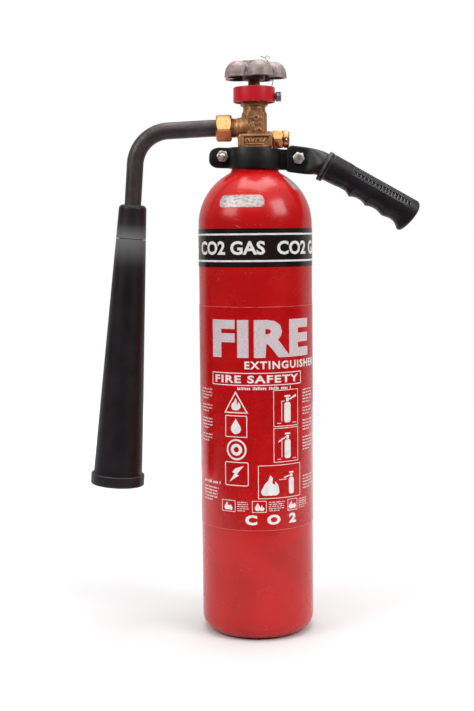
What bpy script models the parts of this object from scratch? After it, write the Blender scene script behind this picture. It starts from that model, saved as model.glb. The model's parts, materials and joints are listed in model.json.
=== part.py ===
"""A 2 kg CO2 fire extinguisher with a wheel valve, as separate pieces on real joints.

Sizes are in millimetres and degrees; the helpers turn them into Blender's metres.
The origin is the centre of the flat base and +Z runs up the cylinder. The discharge
horn hangs on the -X side, the carrying handle is on the +X side, and the front is -Y.
"""
import math

import bmesh
import bpy
from mathutils import Matrix, Vector

MM = 0.001
GAP = 0.3                      # clearance between pieces that touch

# Cylinder
CYL_R = 54.0
CYL_WALL = 3.5
CYL_STEPS = 40
BASE_FILLET = 15.0
BASE_THICK = 5.5
DOME_Z = 392.4                 # centre of the hemispherical shoulder
NECK_R = 22.0
NECK_FILLET = 5.6
NECK_TOP = 463.3
NECK_BORE_R = 12.8

# Labels
LABEL_GAP = 0.15
LABEL_THICK = 0.2
BAND_LOW, BAND_HIGH = 353.0, 388.3
NOTICE_LOW, NOTICE_HIGH = 107.0, 316.6
NOTICE_FACETS = 26             # of the cylinder's steps

# Valve body
STEM_R, STEM_LOW = 12.5, 430.0
BLOCK_LOW, BLOCK_HIGH = NECK_TOP + GAP, 477.0
BLOCK_X = (-15.7, 16.8)
BLOCK_Y = (-15.0, 15.0)
PLATE_PROUD = 1.8              # the framed plate stands in front of the block
PLATE_X = (-12.5, 16.8)
PLATE_RIM = 2.6
COLUMN_R, COLUMN_HIGH = 12.0, 499.0
COLUMN_FLAT = 10.2             # the column's flat front, from the axis
BODY_NECK_R, BODY_HIGH = 10.5, 508.3
OUTLET_Z = 483.3
OUTLET_R, OUTLET_END = 9.3, 26.9
PORT_Z = 472.3                 # safety plug axis
PORT_BOSS_R = 7.8
INLET_R, SEAT_R, SEAT_Z = 4.5, 2.5, 479.0
CHAMBER_R, CHAMBER_HIGH = 7.3, 500.5
GLAND_R = 8.6

# Spindle, gland and plug
SPINDLE_R = 5.6
SPINDLE_COLLAR_R = 8.2
TANG_THICK, TANG_WIDE, TANG_LOW = 3.0, 9.0, 493.3
PLUG_R, PLUG_LOW, PLUG_HIGH, PLUG_NOSE_R = 7.0, 487.5, 497.0, 4.6
PLUG_SLOT_LOW = 490.0
GLAND_NUT_FLATS = 24.0
GLAND_NUT_LOW, GLAND_NUT_HIGH = 503.0, 514.5
PACKING_HIGH, FOLLOWER_HIGH = 507.0, 510.5
COLLAR_R, COLLAR_LOW, COLLAR_HIGH = 19.7, 506.8, 521.0

# Handwheel
WHEEL_R, WHEEL_NOTCH_R = 30.8, 22.6
WHEEL_LOBES = 5
WHEEL_TURN = -75.0             # one lobe points this way, from +X
WHEEL_LOW, WHEEL_HIGH, WHEEL_WALL = 529.0, 546.2, 3.0
HUB_R, HUB_LOW, HUB_SEAT = 10.5, 527.5, 540.2
SQUARE = 8.0
WHEEL_POCKET_R, WHEEL_WASHER_R, WHEEL_NUT_FLATS = 7.5, 6.8, 10.0

# Union and discharge tube
UNION_FLATS, UNION_NEAR, UNION_FAR = 24.0, 21.4, 36.3
TUBE_R, TUBE_BORE_R, TUBE_START = 7.95, 5.5, 29.0
TUBE_STRAIGHT = 41.0           # the tube runs true to the outlet this far
TUBE_BEND_R = 33.5
TUBE_DROOP = 2.7

# Horn, in its own frame: z = 0 at its top, going down to the mouth
HORN_TOP = (-116.55, 411.9)
HORN_LEAN = 4.18
HORN_LENGTH = 270.5
HORN_TOP_R, HORN_MOUTH_R, HORN_RIM_R = 13.2, 23.5, 25.9
HORN_RIM_HIGH = 10.6
HORN_JOINT = 32.4
HORN_WALL = 2.6
TUBE_IN_HORN = 26.0
SHOULDER_ROUND = 4.0           # the horn's rounded top edge
SPIGOT_R, SPIGOT_LONG = 11.0, 10.0   # the neck's spigot inside the cone
NOZZLE_LIP = 5.0               # the nozzle's flange below the tube's end

# Neck clamp, in its own frame: z = 0 at mid height
CLAMP_Z, CLAMP_TILT = 454.2, 2.2
STRAP_THICK, STRAP_HIGH = 2.2, 19.2
RING_R = 23.9                  # centre of the strap's thickness
EAR_Y = 2.1
EAR_BEND_R = 1.9
EAR_LEFT, EAR_RIGHT = -42.0, 48.6
EAR_ROUND = 6.0                # length of an ear's rounded end
REAR_EAR_EXTRA = 1.3           # the rear strap's left ear is a little longer
BOLT_R, BOLT_FLATS, BOLT_HEAD, NUT_THICK = 3.0, 9.8, 4.0, 5.0
BOLT_LEFT, BOLT_RIGHT, BOLT_Z = -30.4, 41.4, 1.3

# Handle
PADDLE_X, PADDLE_Z = 30.6, 454.1
PADDLE_THICK, PADDLE_HIGH, PADDLE_END_HIGH = 4.6, 25.2, 19.4
PADDLE_LONG, PADDLE_FADE = 19.0, 12.0   # flat length, then the change to round
HANDLE_Y = -(EAR_Y + STRAP_THICK / 2 + GAP + PADDLE_THICK / 2)
HANDLE_SLOPE, GRIP_SLOPE = 8.0, 29.5
HANDLE_CORNER = (61.1, 449.85)
HANDLE_BEND_R = 25.0
HANDLE_R, HANDLE_WALL = 11.4, 1.8
GRIP_START = (67.3, 446.3)     # where the flange sits on the axis
GRIP_LENGTH = 96.2
GRIP_BORE = 85.0
GRIP_HALF_WIDE = 12.6
GRIP_TOP, GRIP_WAIST = 13.5, 11.0
FLANGE_TOP, FLANGE_BOTTOM, FLANGE_HALF = 14.4, -15.3, 2.4
GROOVE_PEAKS = (33.0, 50.5, 67.5, 88.0)
GROOVE_OUT, GROOVE_IN, HEEL_OUT = 14.6, 11.9, 17.4

# Fits that several pieces share
DIP_R, DIP_HIGH = 4.7, 440.0
PORT_FLOOR, PORT_R = 9.0, 5.3
PLUG_CAP_R, PLUG_HEX_FLATS = 8.1, 16.2
PLUG_HEX_END, PLUG_VENT_X, PLUG_END = 27.2, 28.8, 33.0
SEAT_INSERT_R, SEAT_INSERT_HIGH = 3.6, 482.5
STUD_R, STUD_HIGH = 2.9, WHEEL_HIGH
FERRULE_FAR = 32.3
UNION_TURN = -6.0
NOZZLE_R = 8.0
WIRE_R, WIRE_HOLE_R = 0.45, 0.95
WIRE_TOP_HOLE = (16.7, -3.7)
SEAL_Y, SEAL_Z = -3.7, 511.8

RED_PAINT = ((0.60, 0.012, 0.016), 0.22, 0.0)
LABEL_BLACK = ((0.012, 0.011, 0.012), 0.3, 0.0)
LABEL_RED = ((0.55, 0.012, 0.015), 0.25, 0.0)
BRASS = ((0.50, 0.27, 0.10), 0.35, 1.0)
BRASS_CAST = ((0.32, 0.16, 0.07), 0.45, 1.0)
GREY_CAST = ((0.24, 0.19, 0.19), 0.5, 0.8)
STEEL = ((0.55, 0.54, 0.52), 0.3, 1.0)
TUBE_STEEL = ((0.07, 0.058, 0.062), 0.4, 0.7)
BLACK_PAINT = ((0.012, 0.011, 0.013), 0.35, 0.0)
BLACK_PLASTIC = ((0.015, 0.013, 0.015), 0.45, 0.0)
RED_PLASTIC = ((0.62, 0.01, 0.03), 0.35, 0.0)
WHITE_NYLON = ((0.75, 0.74, 0.70), 0.4, 0.0)
FIBRE = ((0.45, 0.10, 0.05), 0.7, 0.0)
COPPER = ((0.70, 0.30, 0.18), 0.3, 1.0)
ALUMINIUM = ((0.6, 0.6, 0.6), 0.35, 1.0)
LEAD = ((0.30, 0.30, 0.31), 0.5, 0.9)


# ---------------------------------------------------------------- helpers

def clear_scene():
    for obj in list(bpy.data.objects):
        bpy.data.objects.remove(obj, do_unlink=True)


def make_collection(name):
    group = bpy.data.collections.new(name)
    bpy.context.scene.collection.children.link(group)
    return group


def set_finish(obj, finish):
    """Give a piece its own Principled material."""
    colour, roughness, metallic = finish
    mat = bpy.data.materials.new(obj.name + "_finish")
    mat.use_nodes = True
    shader = mat.node_tree.nodes["Principled BSDF"]
    shader.inputs["Base Color"].default_value = (*colour, 1.0)
    shader.inputs["Roughness"].default_value = roughness
    shader.inputs["Metallic"].default_value = metallic
    obj.data.materials.append(mat)


def make_frame(name, at, turn=(0.0, 0.0, 0.0)):
    """An empty that pieces are parented to; at in mm, turn in degrees."""
    frame = bpy.data.objects.new(name, None)
    frame.empty_display_size = 0.02
    frame.location = Vector(at) * MM
    frame.rotation_euler = [math.radians(angle) for angle in turn]
    PARTS.objects.link(frame)
    return frame


def add_part(name, mesh, finish, parent=None):
    obj = bpy.data.objects.new(name, mesh)
    PARTS.objects.link(obj)
    obj.parent = parent
    set_finish(obj, finish)
    return obj


def add_tool(name, mesh, parent=None):
    """A shape that only cuts or joins another."""
    obj = bpy.data.objects.new(name, mesh)
    TOOLS.objects.link(obj)
    obj.parent = parent
    obj.hide_render = True
    obj.display_type = "WIRE"
    return obj


def boolean(obj, tool, operation):
    mod = obj.modifiers.new(operation.lower() + "_" + tool.name, "BOOLEAN")
    mod.operation = operation
    mod.object = tool


def cut(obj, tool):
    boolean(obj, tool, "DIFFERENCE")


def join(obj, tool):
    boolean(obj, tool, "UNION")


def mesh_from(name, bm, smooth=True):
    mesh = bpy.data.meshes.new(name)
    bm.to_mesh(mesh)
    bm.free()
    if smooth:
        mesh.shade_smooth()
        mesh.set_sharp_from_angle(angle=math.radians(35))
    return mesh


def outline_mesh(name, profile, closed):
    """A profile of (radius, height) points in the XZ plane, for a Screw."""
    mesh = bpy.data.meshes.new(name)
    points = [(r * MM, 0.0, z * MM) for r, z in profile]
    edges = [(i, i + 1) for i in range(len(points) - 1)]
    if closed:
        edges.append((len(points) - 1, 0))
    mesh.from_pydata(points, edges, [])
    return mesh


def spin(obj, steps):
    mod = obj.modifiers.new("turned", "SCREW")
    mod.axis = "Z"
    mod.angle = math.tau
    mod.steps = mod.render_steps = steps
    mod.use_merge_vertices = True
    mod.merge_threshold = 0.00001
    mod.use_smooth_shade = True


def turned(name, profile, finish, parent=None, steps=28, closed=True):
    """A turned piece; its profile runs down the outer side and up the inner one."""
    obj = add_part(name, outline_mesh(name, profile, closed), finish, parent)
    spin(obj, steps)
    return obj


def washer_profile(inner, outer, low, high):
    return [(outer, high), (outer, low), (inner, low), (inner, high)]


def rod_mesh(name, radius, low, high, sides=20, turn=0.0):
    """A cylinder or, with 6 sides, a hexagon along z."""
    bm = bmesh.new()
    place = Matrix.Translation((0.0, 0.0, (low + high) / 2 * MM))
    place = place @ Matrix.Rotation(math.radians(turn), 4, "Z")
    bmesh.ops.create_cone(bm, cap_ends=True, segments=sides, radius1=radius * MM,
                          radius2=radius * MM, depth=(high - low) * MM, matrix=place)
    return mesh_from(name, bm)


def hex_mesh(name, flats, low, high, turn=0.0):
    return rod_mesh(name, flats / math.sqrt(3), low, high, sides=6, turn=turn)


def box_mesh(name, x, y, z):
    """A box from three (low, high) pairs."""
    bm = bmesh.new()
    size = Matrix.Diagonal([(b - a) * MM for a, b in (x, y, z)] + [1.0])
    centre = Matrix.Translation([(a + b) / 2 * MM for a, b in (x, y, z)])
    bmesh.ops.create_cube(bm, size=1.0, matrix=centre @ size)
    return mesh_from(name, bm, smooth=False)


def arc(centre, radius, start, end, steps):
    """Points along an arc, from angle start to angle end in degrees."""
    angles = [math.radians(start + (end - start) * i / steps) for i in range(steps + 1)]
    return [(centre[0] + radius * math.cos(a), centre[1] + radius * math.sin(a))
            for a in angles]


def wire(name, points, radius, finish, parent=None):
    data = bpy.data.curves.new(name, "CURVE")
    data.dimensions = "3D"
    data.bevel_depth = radius * MM
    data.bevel_resolution = 2
    data.use_fill_caps = True
    add_spline(data, points)
    return add_part(name, data, finish, parent)


def add_spline(data, points):
    spline = data.splines.new("POLY")
    spline.points.add(len(points) - 1)
    for point, place in zip(spline.points, points):
        point.co = (*(Vector(place) * MM), 1.0)


def smooth_path(points, pieces):
    """A Catmull-Rom curve through hand-set points."""
    line = [Vector(p) for p in points]
    line = [2 * line[0] - line[1]] + line + [2 * line[-1] - line[-2]]
    path = []
    for before, start, end, after in zip(line, line[1:], line[2:], line[3:]):
        for i in range(pieces):
            t = i / pieces
            path.append(0.5 * (2 * start + (end - before) * t
                               + (2 * before - 5 * start + 4 * end - after) * t ** 2
                               + (3 * start - before - 3 * end + after) * t ** 3))
    return path + [line[-2]]


def loft(name, rings, caps):
    """Skin rings of equally many points; caps closes the two ends."""
    bm = bmesh.new()
    rows = [[bm.verts.new(Vector(p) * MM) for p in ring] for ring in rings]
    count = len(rows[0])
    for low, high in zip(rows, rows[1:]):
        for i in range(count):
            j = (i + 1) % count
            bm.faces.new((low[i], low[j], high[j], high[i]))
    if caps:
        bm.faces.new(rows[0])
        bm.faces.new(rows[-1])
    bmesh.ops.recalc_face_normals(bm, faces=bm.faces)
    return mesh_from(name, bm)


def solidify(obj, thickness, offset):
    mod = obj.modifiers.new("wall", "SOLIDIFY")
    mod.thickness = thickness * MM
    mod.offset = offset
    mod.use_even_offset = True


# ---------------------------------------------------------------- cylinder

def cylinder_shell():
    """Seamless shell: flat base, rounded corner, straight side, hemisphere and neck."""
    blend = CYL_R + NECK_FILLET
    fillet_r = NECK_R + NECK_FILLET
    fillet_z = DOME_Z + math.sqrt(blend ** 2 - fillet_r ** 2)
    touch = math.degrees(math.acos(fillet_r / blend))
    inner_r = CYL_R - CYL_WALL
    inner_touch = math.degrees(math.acos(NECK_BORE_R / inner_r))
    corner = BASE_FILLET - CYL_WALL
    outer = [(NECK_R, NECK_TOP)]
    outer += arc((fillet_r, fillet_z), NECK_FILLET, 180, 180 + touch, 3)
    outer += arc((0, DOME_Z), CYL_R, touch, 0, 9)[1:]
    outer += arc((CYL_R - BASE_FILLET, BASE_FILLET), BASE_FILLET, 0, -90, 4)
    outer.append((0, 0))
    inner = [(0, BASE_THICK)]
    inner += arc((inner_r - corner, BASE_THICK + corner), corner, -90, 0, 2)
    inner += arc((0, DOME_Z), inner_r, 0, inner_touch, 4)
    inner.append((NECK_BORE_R, NECK_TOP))
    turned("cylinder_shell", inner + outer, RED_PAINT, steps=CYL_STEPS, closed=False)


def agent_band_label():
    low_r = CYL_R + LABEL_GAP
    profile = washer_profile(low_r, low_r + LABEL_THICK, BAND_LOW, BAND_HIGH)
    turned("agent_band_label", profile, LABEL_BLACK, steps=CYL_STEPS)


def instruction_label():
    """A film round the front, on the cylinder's own facets."""
    bm = bmesh.new()
    step = math.tau / CYL_STEPS
    first = -math.pi / 2 - NOTICE_FACETS / 2 * step
    columns = []
    for i in range(NOTICE_FACETS + 1):
        angle = first + i * step
        x, y = (CYL_R + LABEL_GAP) * math.cos(angle), (CYL_R + LABEL_GAP) * math.sin(angle)
        columns.append([bm.verts.new((x * MM, y * MM, z * MM))
                        for z in (NOTICE_LOW, NOTICE_HIGH)])
    for left, right in zip(columns, columns[1:]):
        bm.faces.new((left[0], right[0], right[1], left[1]))
    label = add_part("instruction_label", mesh_from("instruction_label", bm), LABEL_RED)
    solidify(label, LABEL_THICK, 1.0)


# ---------------------------------------------------------------- valve

def valve_body():
    """Brass body: stem, block with a framed plate, column, neck and outlet."""
    column = [(0, BODY_HIGH), (BODY_NECK_R, BODY_HIGH), (BODY_NECK_R, COLUMN_HIGH),
              (COLUMN_R, COLUMN_HIGH - 2.2), (COLUMN_R, BLOCK_LOW + 2), (0, BLOCK_LOW + 2)]
    body = turned("valve_body", column, BRASS_CAST, closed=False)
    front = BLOCK_Y[0] - PLATE_PROUD
    cut(body, add_tool("column_front", box_mesh(
        "column_front", (-20, 20), (-30, -COLUMN_FLAT), (BLOCK_LOW, COLUMN_HIGH + 1))))
    block = add_tool("body_block", box_mesh(
        "body_block", BLOCK_X, BLOCK_Y, (BLOCK_LOW, BLOCK_HIGH)))
    round_edges(block, 3.0)
    join(body, block)
    plate = add_tool("body_plate", box_mesh(
        "body_plate", PLATE_X, (front, 0), (BLOCK_LOW, BLOCK_HIGH - 0.4)))
    round_edges(plate, 2.0)
    join(body, plate)
    recess_x = (PLATE_X[0] + PLATE_RIM, PLATE_X[1] - PLATE_RIM - 1)
    cut(body, add_tool("plate_recess", box_mesh(
        "plate_recess", recess_x, (front - 1, front + 1.2),
        (BLOCK_LOW + 1.5, BLOCK_HIGH - 0.4 - PLATE_RIM))))
    join(body, add_tool("body_stem", rod_mesh("body_stem", STEM_R, STEM_LOW, BLOCK_LOW + 5)))
    outlet = rod_mesh("body_outlet", OUTLET_R, 0, OUTLET_END)
    join(body, add_tool("body_outlet", outlet, OUTLET))
    boss = rod_mesh("body_port_boss", PORT_BOSS_R, 0, BLOCK_X[1] - 0.2)
    join(body, add_tool("body_port_boss", boss, PORT))
    cut_passages(body)


def round_edges(obj, width):
    mod = obj.modifiers.new("rounded", "BEVEL")
    mod.width = width * MM
    mod.segments = 2


def cut_passages(body):
    """Inlet, seat, chamber, gland bore, outlet and safety port."""
    bores = (
        ("bore_dip", DIP_R + GAP, STEM_LOW - 1, DIP_HIGH + GAP, None),
        ("bore_inlet", INLET_R - 1, STEM_LOW, SEAT_Z - 3.5, None),
        ("bore_seat", SEAT_R, SEAT_Z - 4, SEAT_Z + 1, None),
        ("bore_chamber", CHAMBER_R, SEAT_Z, CHAMBER_HIGH + 1, None),
        ("bore_gland", GLAND_R, CHAMBER_HIGH, BODY_HIGH + 1, None),
        ("bore_outlet", 3.0, 4, OUTLET_END + 1, OUTLET),
        ("bore_port", 2.0, 0, PORT_FLOOR + 1, PORT),
        ("bore_port_thread", PORT_R, PORT_FLOOR, BLOCK_X[1] + 2, PORT),
    )
    for name, radius, low, high, parent in bores:
        cut(body, add_tool(name, rod_mesh(name, radius, low, high), parent))


def dip_tube():
    profile = washer_profile(DIP_R - 1.4, DIP_R, 14, DIP_HIGH)
    turned("dip_tube", profile, ALUMINIUM, steps=16)


def gland():
    """Packing, its follower and the nut that presses on it."""
    ring_in, ring_out = SPINDLE_R + GAP, GLAND_R - GAP
    packing_low = CHAMBER_HIGH + 2.6
    turned("gland_packing", washer_profile(ring_in, ring_out, packing_low, PACKING_HIGH),
           WHITE_NYLON, steps=24)
    turned("gland_follower", washer_profile(
        ring_in, ring_out, PACKING_HIGH + GAP, FOLLOWER_HIGH), BRASS, steps=24)
    nut = add_part("gland_nut", hex_mesh(
        "gland_nut", GLAND_NUT_FLATS, GLAND_NUT_LOW, GLAND_NUT_HIGH, turn=12), BRASS_CAST)
    cut(nut, add_tool("nut_thread", rod_mesh(
        "nut_thread", BODY_NECK_R + GAP, GLAND_NUT_LOW - 1, FOLLOWER_HIGH + GAP)))
    cut(nut, add_tool("nut_hole", rod_mesh(
        "nut_hole", ring_in, GLAND_NUT_LOW, GLAND_NUT_HIGH + 1)))


def tamper_collar():
    """A cup over the gland nut; the seal wire goes in at its top and out at its side."""
    skirt_in, web_low, boss_r = COLLAR_R - 1.6, COLLAR_HIGH - 2.0, 10.5
    profile = [(SPINDLE_R + 1, COLLAR_HIGH), (COLLAR_R - 1, COLLAR_HIGH),
               (COLLAR_R, COLLAR_HIGH - 1), (COLLAR_R, COLLAR_LOW), (skirt_in, COLLAR_LOW),
               (skirt_in, web_low), (boss_r, web_low), (boss_r, GLAND_NUT_HIGH + GAP),
               (SPINDLE_R + 1, GLAND_NUT_HIGH + GAP)]
    collar = turned("tamper_collar", profile, RED_PLASTIC, steps=32)
    hole = rod_mesh("wire_hole_top", WIRE_HOLE_R, web_low - 1, COLLAR_HIGH + 1, sides=10)
    top = add_tool("wire_hole_top", hole)
    top.location = Vector((*WIRE_TOP_HOLE, 0)) * MM
    cut(collar, top)
    side = make_frame("wire_side", (0, SEAL_Y, SEAL_Z), (0, 90, 0))
    hole = rod_mesh("wire_hole_side", WIRE_HOLE_R, skirt_in - 4, COLLAR_R + 2, sides=10)
    cut(collar, add_tool("wire_hole_side", hole, side))


def spindle(parent):
    """Tang, collar, stem, square for the wheel and a stud for its nut."""
    collar_low = CHAMBER_HIGH + GAP
    profile = [(0, STUD_HIGH), (STUD_R, STUD_HIGH), (STUD_R, HUB_SEAT - 1), (3.4, HUB_SEAT - 1),
               (3.4, HUB_LOW - GAP), (SPINDLE_R, HUB_LOW - GAP),
               (SPINDLE_R, collar_low + 2), (SPINDLE_COLLAR_R, collar_low + 2),
               (SPINDLE_COLLAR_R, collar_low), (0, collar_low)]
    stem = turned("spindle", profile, BRASS, parent, steps=24, closed=False)
    half = SQUARE / 2
    join(stem, add_tool("spindle_square", box_mesh(
        "spindle_square", (-half, half), (-half, half), (HUB_LOW - 1, HUB_SEAT))))
    join(stem, add_tool("spindle_tang", box_mesh(
        "spindle_tang", (-TANG_WIDE / 2, TANG_WIDE / 2), (-TANG_THICK / 2, TANG_THICK / 2),
        (TANG_LOW, collar_low + 1))))


def valve_plug(parent):
    """Threaded plug with a slot for the tang and a pocket for the seat insert."""
    nose_low = SEAT_Z + 1.4
    profile = [(0, PLUG_HIGH), (PLUG_R, PLUG_HIGH), (PLUG_R, PLUG_LOW),
               (PLUG_NOSE_R, PLUG_LOW), (PLUG_NOSE_R, nose_low), (SEAT_INSERT_R + GAP, nose_low),
               (SEAT_INSERT_R + GAP, SEAT_INSERT_HIGH + GAP), (0, SEAT_INSERT_HIGH + GAP)]
    plug = turned("valve_plug", profile, BRASS, parent, steps=24, closed=False)
    slot = TANG_THICK / 2 + GAP
    cut(plug, add_tool("plug_slot", box_mesh(
        "plug_slot", (-PLUG_R - 1, PLUG_R + 1), (-slot, slot), (PLUG_SLOT_LOW, PLUG_HIGH + 1))))
    profile = [(0, SEAT_INSERT_HIGH), (SEAT_INSERT_R, SEAT_INSERT_HIGH),
               (SEAT_INSERT_R, SEAT_Z + GAP), (0, SEAT_Z + GAP)]
    turned("seat_insert", profile, WHITE_NYLON, parent, steps=16, closed=False)


def safety_plug():
    """Hexagon plug with a round vented cap, its disc and its gasket."""
    near, far = BLOCK_X[1] + GAP, PLUG_END
    shank_end = PORT_FLOOR + 1.9
    shank = PORT_R - GAP
    turned("burst_gasket", washer_profile(2.2, shank, PORT_FLOOR + GAP, PORT_FLOOR + 1),
           FIBRE, PORT, steps=16)
    disc = [(0, PORT_FLOOR + 1.6), (shank, PORT_FLOOR + 1.6),
            (shank, PORT_FLOOR + 1.3), (0, PORT_FLOOR + 1.3)]
    turned("burst_disc", disc, COPPER, PORT, steps=16, closed=False)
    profile = [(0, far), (PLUG_CAP_R - 1, far), (PLUG_CAP_R, far - 1), (PLUG_CAP_R, near + 1),
               (shank, near + 1), (shank, shank_end), (0, shank_end)]
    plug = turned("safety_plug", profile, BRASS, PORT, closed=False)
    hexagon = hex_mesh("plug_hexagon", PLUG_HEX_FLATS, near, PLUG_HEX_END)
    join(plug, add_tool("plug_hexagon", hexagon, PORT))
    cut(plug, add_tool("plug_bore", rod_mesh("plug_bore", 1.6, shank_end - 1, 30), PORT))
    vent = rod_mesh("plug_vent", 1.1, 0, PLUG_CAP_R + 1, sides=12)
    tool = add_tool("plug_vent", vent)
    tool.location = Vector((PLUG_VENT_X, 0, PORT_Z)) * MM
    cut(plug, tool)


# ---------------------------------------------------------------- handwheel

def wheel_dome(name, shrink, low):
    """The lobed dome, or its hollow when shrunk by the wall."""
    around, rows = 10 * WHEEL_LOBES, 5
    crown = WHEEL_HIGH - WHEEL_LOW - 2 - shrink
    rings = []
    for row in range(rows):
        rise = math.radians(80 * (1 - row / (rows - 1)))
        ring = []
        for i in range(around):
            angle = math.tau * i / around
            lobe = math.cos(WHEEL_LOBES * (angle - math.radians(WHEEL_TURN)))
            lobe = (0.5 + 0.5 * lobe) ** 0.5
            reach = WHEEL_NOTCH_R + (WHEEL_R - WHEEL_NOTCH_R) * lobe - shrink
            power = 2 / (1.5 + 1.2 * lobe)
            r = reach * math.cos(rise) ** power
            z = WHEEL_LOW + 2 + crown * math.sin(rise) ** power
            ring.append((r * math.cos(angle), r * math.sin(angle), z))
        rings.append(ring)
    rings.append([(x, y, low) for x, y, z in rings[-1]])
    return loft(name, rings, caps=True)


def handwheel(parent):
    wheel = add_part("handwheel", wheel_dome("handwheel", 0, WHEEL_LOW), GREY_CAST, parent)
    cut(wheel, add_tool("wheel_hollow", wheel_dome("wheel_hollow", WHEEL_WALL, WHEEL_LOW - 1)))
    join(wheel, add_tool("wheel_hub", rod_mesh("wheel_hub", HUB_R, HUB_LOW, HUB_SEAT + 4)))
    half = SQUARE / 2 + GAP
    cut(wheel, add_tool("wheel_square", box_mesh(
        "wheel_square", (-half, half), (-half, half), (HUB_LOW - 1, HUB_SEAT + 1))))
    cut(wheel, add_tool("wheel_pocket", rod_mesh(
        "wheel_pocket", WHEEL_POCKET_R, HUB_SEAT, WHEEL_HIGH + 1)))
    turned("handwheel_washer", washer_profile(
        STUD_R + GAP, WHEEL_WASHER_R, HUB_SEAT + GAP, HUB_SEAT + 1.2), STEEL, parent, steps=24)
    nut = add_part("handwheel_nut", hex_mesh(
        "handwheel_nut", WHEEL_NUT_FLATS, HUB_SEAT + 1.5, HUB_SEAT + 5.2), STEEL, parent)
    cut(nut, add_tool("wheel_nut_hole", rod_mesh(
        "wheel_nut_hole", STUD_R + GAP, HUB_SEAT, HUB_SEAT + 7)))


def seal_wires(parent):
    """The upper wire rides on the wheel; the lower one stays on the collar."""
    upper = [(7.2, -5.0, 549.0), (8.6, -6.6, 547.0), (10.4, -8.5, 544.7), (13.6, -11.1, 541.3),
             (16.9, -13.8, 537.2), (18.9, -15.5, 532.8), (19.1, -15.6, 528.9),
             (18.0, -12.8, 526.3)]
    lower = [(17.9, -12.5, 525.9), (17.4, -8.2, 523.6), (*WIRE_TOP_HOLE, 521.6),
             (*WIRE_TOP_HOLE, 518.4), (16.6, -3.9, 515.4), (16.6, SEAL_Y, SEAL_Z + 0.6),
             (18.0, SEAL_Y, SEAL_Z), (20.2, SEAL_Y, SEAL_Z)]
    wire("seal_wire_upper", smooth_path(upper, 3), WIRE_R, STEEL, parent)
    wire("seal_wire_lower", smooth_path(lower, 3), WIRE_R, STEEL)


def lead_seal():
    frame = make_frame("seal_frame", (20.5, SEAL_Y, SEAL_Z), (0, 90, 0))
    profile = [(0, 5), (3.6, 5), (4.75, 4), (4.75, 1), (3.6, 0), (0, 0)]
    turned("lead_seal", profile, LEAD, frame, steps=20, closed=False)


# ---------------------------------------------------------------- discharge

def union():
    nut = add_part("union_nut", hex_mesh(
        "union_nut", UNION_FLATS, UNION_NEAR, UNION_FAR, turn=UNION_TURN), BRASS, OUTLET)
    cut(nut, add_tool("union_thread", rod_mesh(
        "union_thread", OUTLET_R + GAP, UNION_NEAR - 1, FERRULE_FAR + GAP), OUTLET))
    cut(nut, add_tool("union_lip", rod_mesh(
        "union_lip", TUBE_R + 0.5, FERRULE_FAR, UNION_FAR + 1), OUTLET))
    profile = washer_profile(4.5, OUTLET_R, OUTLET_END + GAP, TUBE_START - GAP)
    turned("union_washer", profile, FIBRE, OUTLET, steps=24)


def discharge_tube(parent):
    """Straight out of the outlet, a slight droop, one bend, then down the horn's axis."""
    lean = math.radians(HORN_LEAN)
    droop = math.radians(TUBE_DROOP)
    down = Vector((-math.sin(lean), 0, -math.cos(lean)))
    along = Vector((-math.cos(droop), 0, -math.sin(droop)))
    start = Vector((-TUBE_START, 0, 0))
    droop_from = Vector((-TUBE_STRAIGHT, 0, 0))
    horn_top = Vector((HORN_TOP[0], 0, HORN_TOP[1] - OUTLET_Z))
    reach = (horn_top - droop_from).cross(down).y / along.cross(down).y
    corner = droop_from + along * reach
    half_turn = (math.pi / 2 - lean - droop) / 2
    tangent = TUBE_BEND_R * math.tan(half_turn)
    centre = corner - along * tangent + down_of(along) * TUBE_BEND_R
    steps = 12
    path = [start, droop_from]
    for i in range(steps + 1):
        turn = Matrix.Rotation(-2 * half_turn * i / steps, 4, "Y")
        path.append(centre - turn @ (down_of(along) * TUBE_BEND_R))
    path.append(horn_top + down * TUBE_IN_HORN)
    data = bpy.data.curves.new("discharge_tube", "CURVE")
    data.dimensions = "3D"
    data.bevel_depth = TUBE_R * MM
    data.bevel_resolution = 3
    data.use_fill_caps = False
    add_spline(data, path)
    tube = add_part("discharge_tube", mesh_of_curve(data), TUBE_STEEL, parent)
    solidify(tube, TUBE_R - TUBE_BORE_R, -1.0)


def down_of(along):
    """The direction square to a run of the tube, on the inside of its bend."""
    return Vector((-along.z, 0, along.x))


def mesh_of_curve(data):
    guide = bpy.data.objects.new("tube_guide", data)
    TOOLS.objects.link(guide)
    graph = bpy.context.evaluated_depsgraph_get()
    mesh = bpy.data.meshes.new_from_object(guide.evaluated_get(graph))
    bpy.data.objects.remove(guide, do_unlink=True)
    mesh.shade_smooth()
    return mesh


def tube_ferrule(parent):
    frame = make_frame("ferrule_frame", (0, 0, 0), (0, -90, 0))
    frame.parent = parent
    profile = washer_profile(TUBE_R + GAP, OUTLET_R, TUBE_START, FERRULE_FAR)
    turned("tube_ferrule", profile, BRASS, frame, steps=24)


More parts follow.
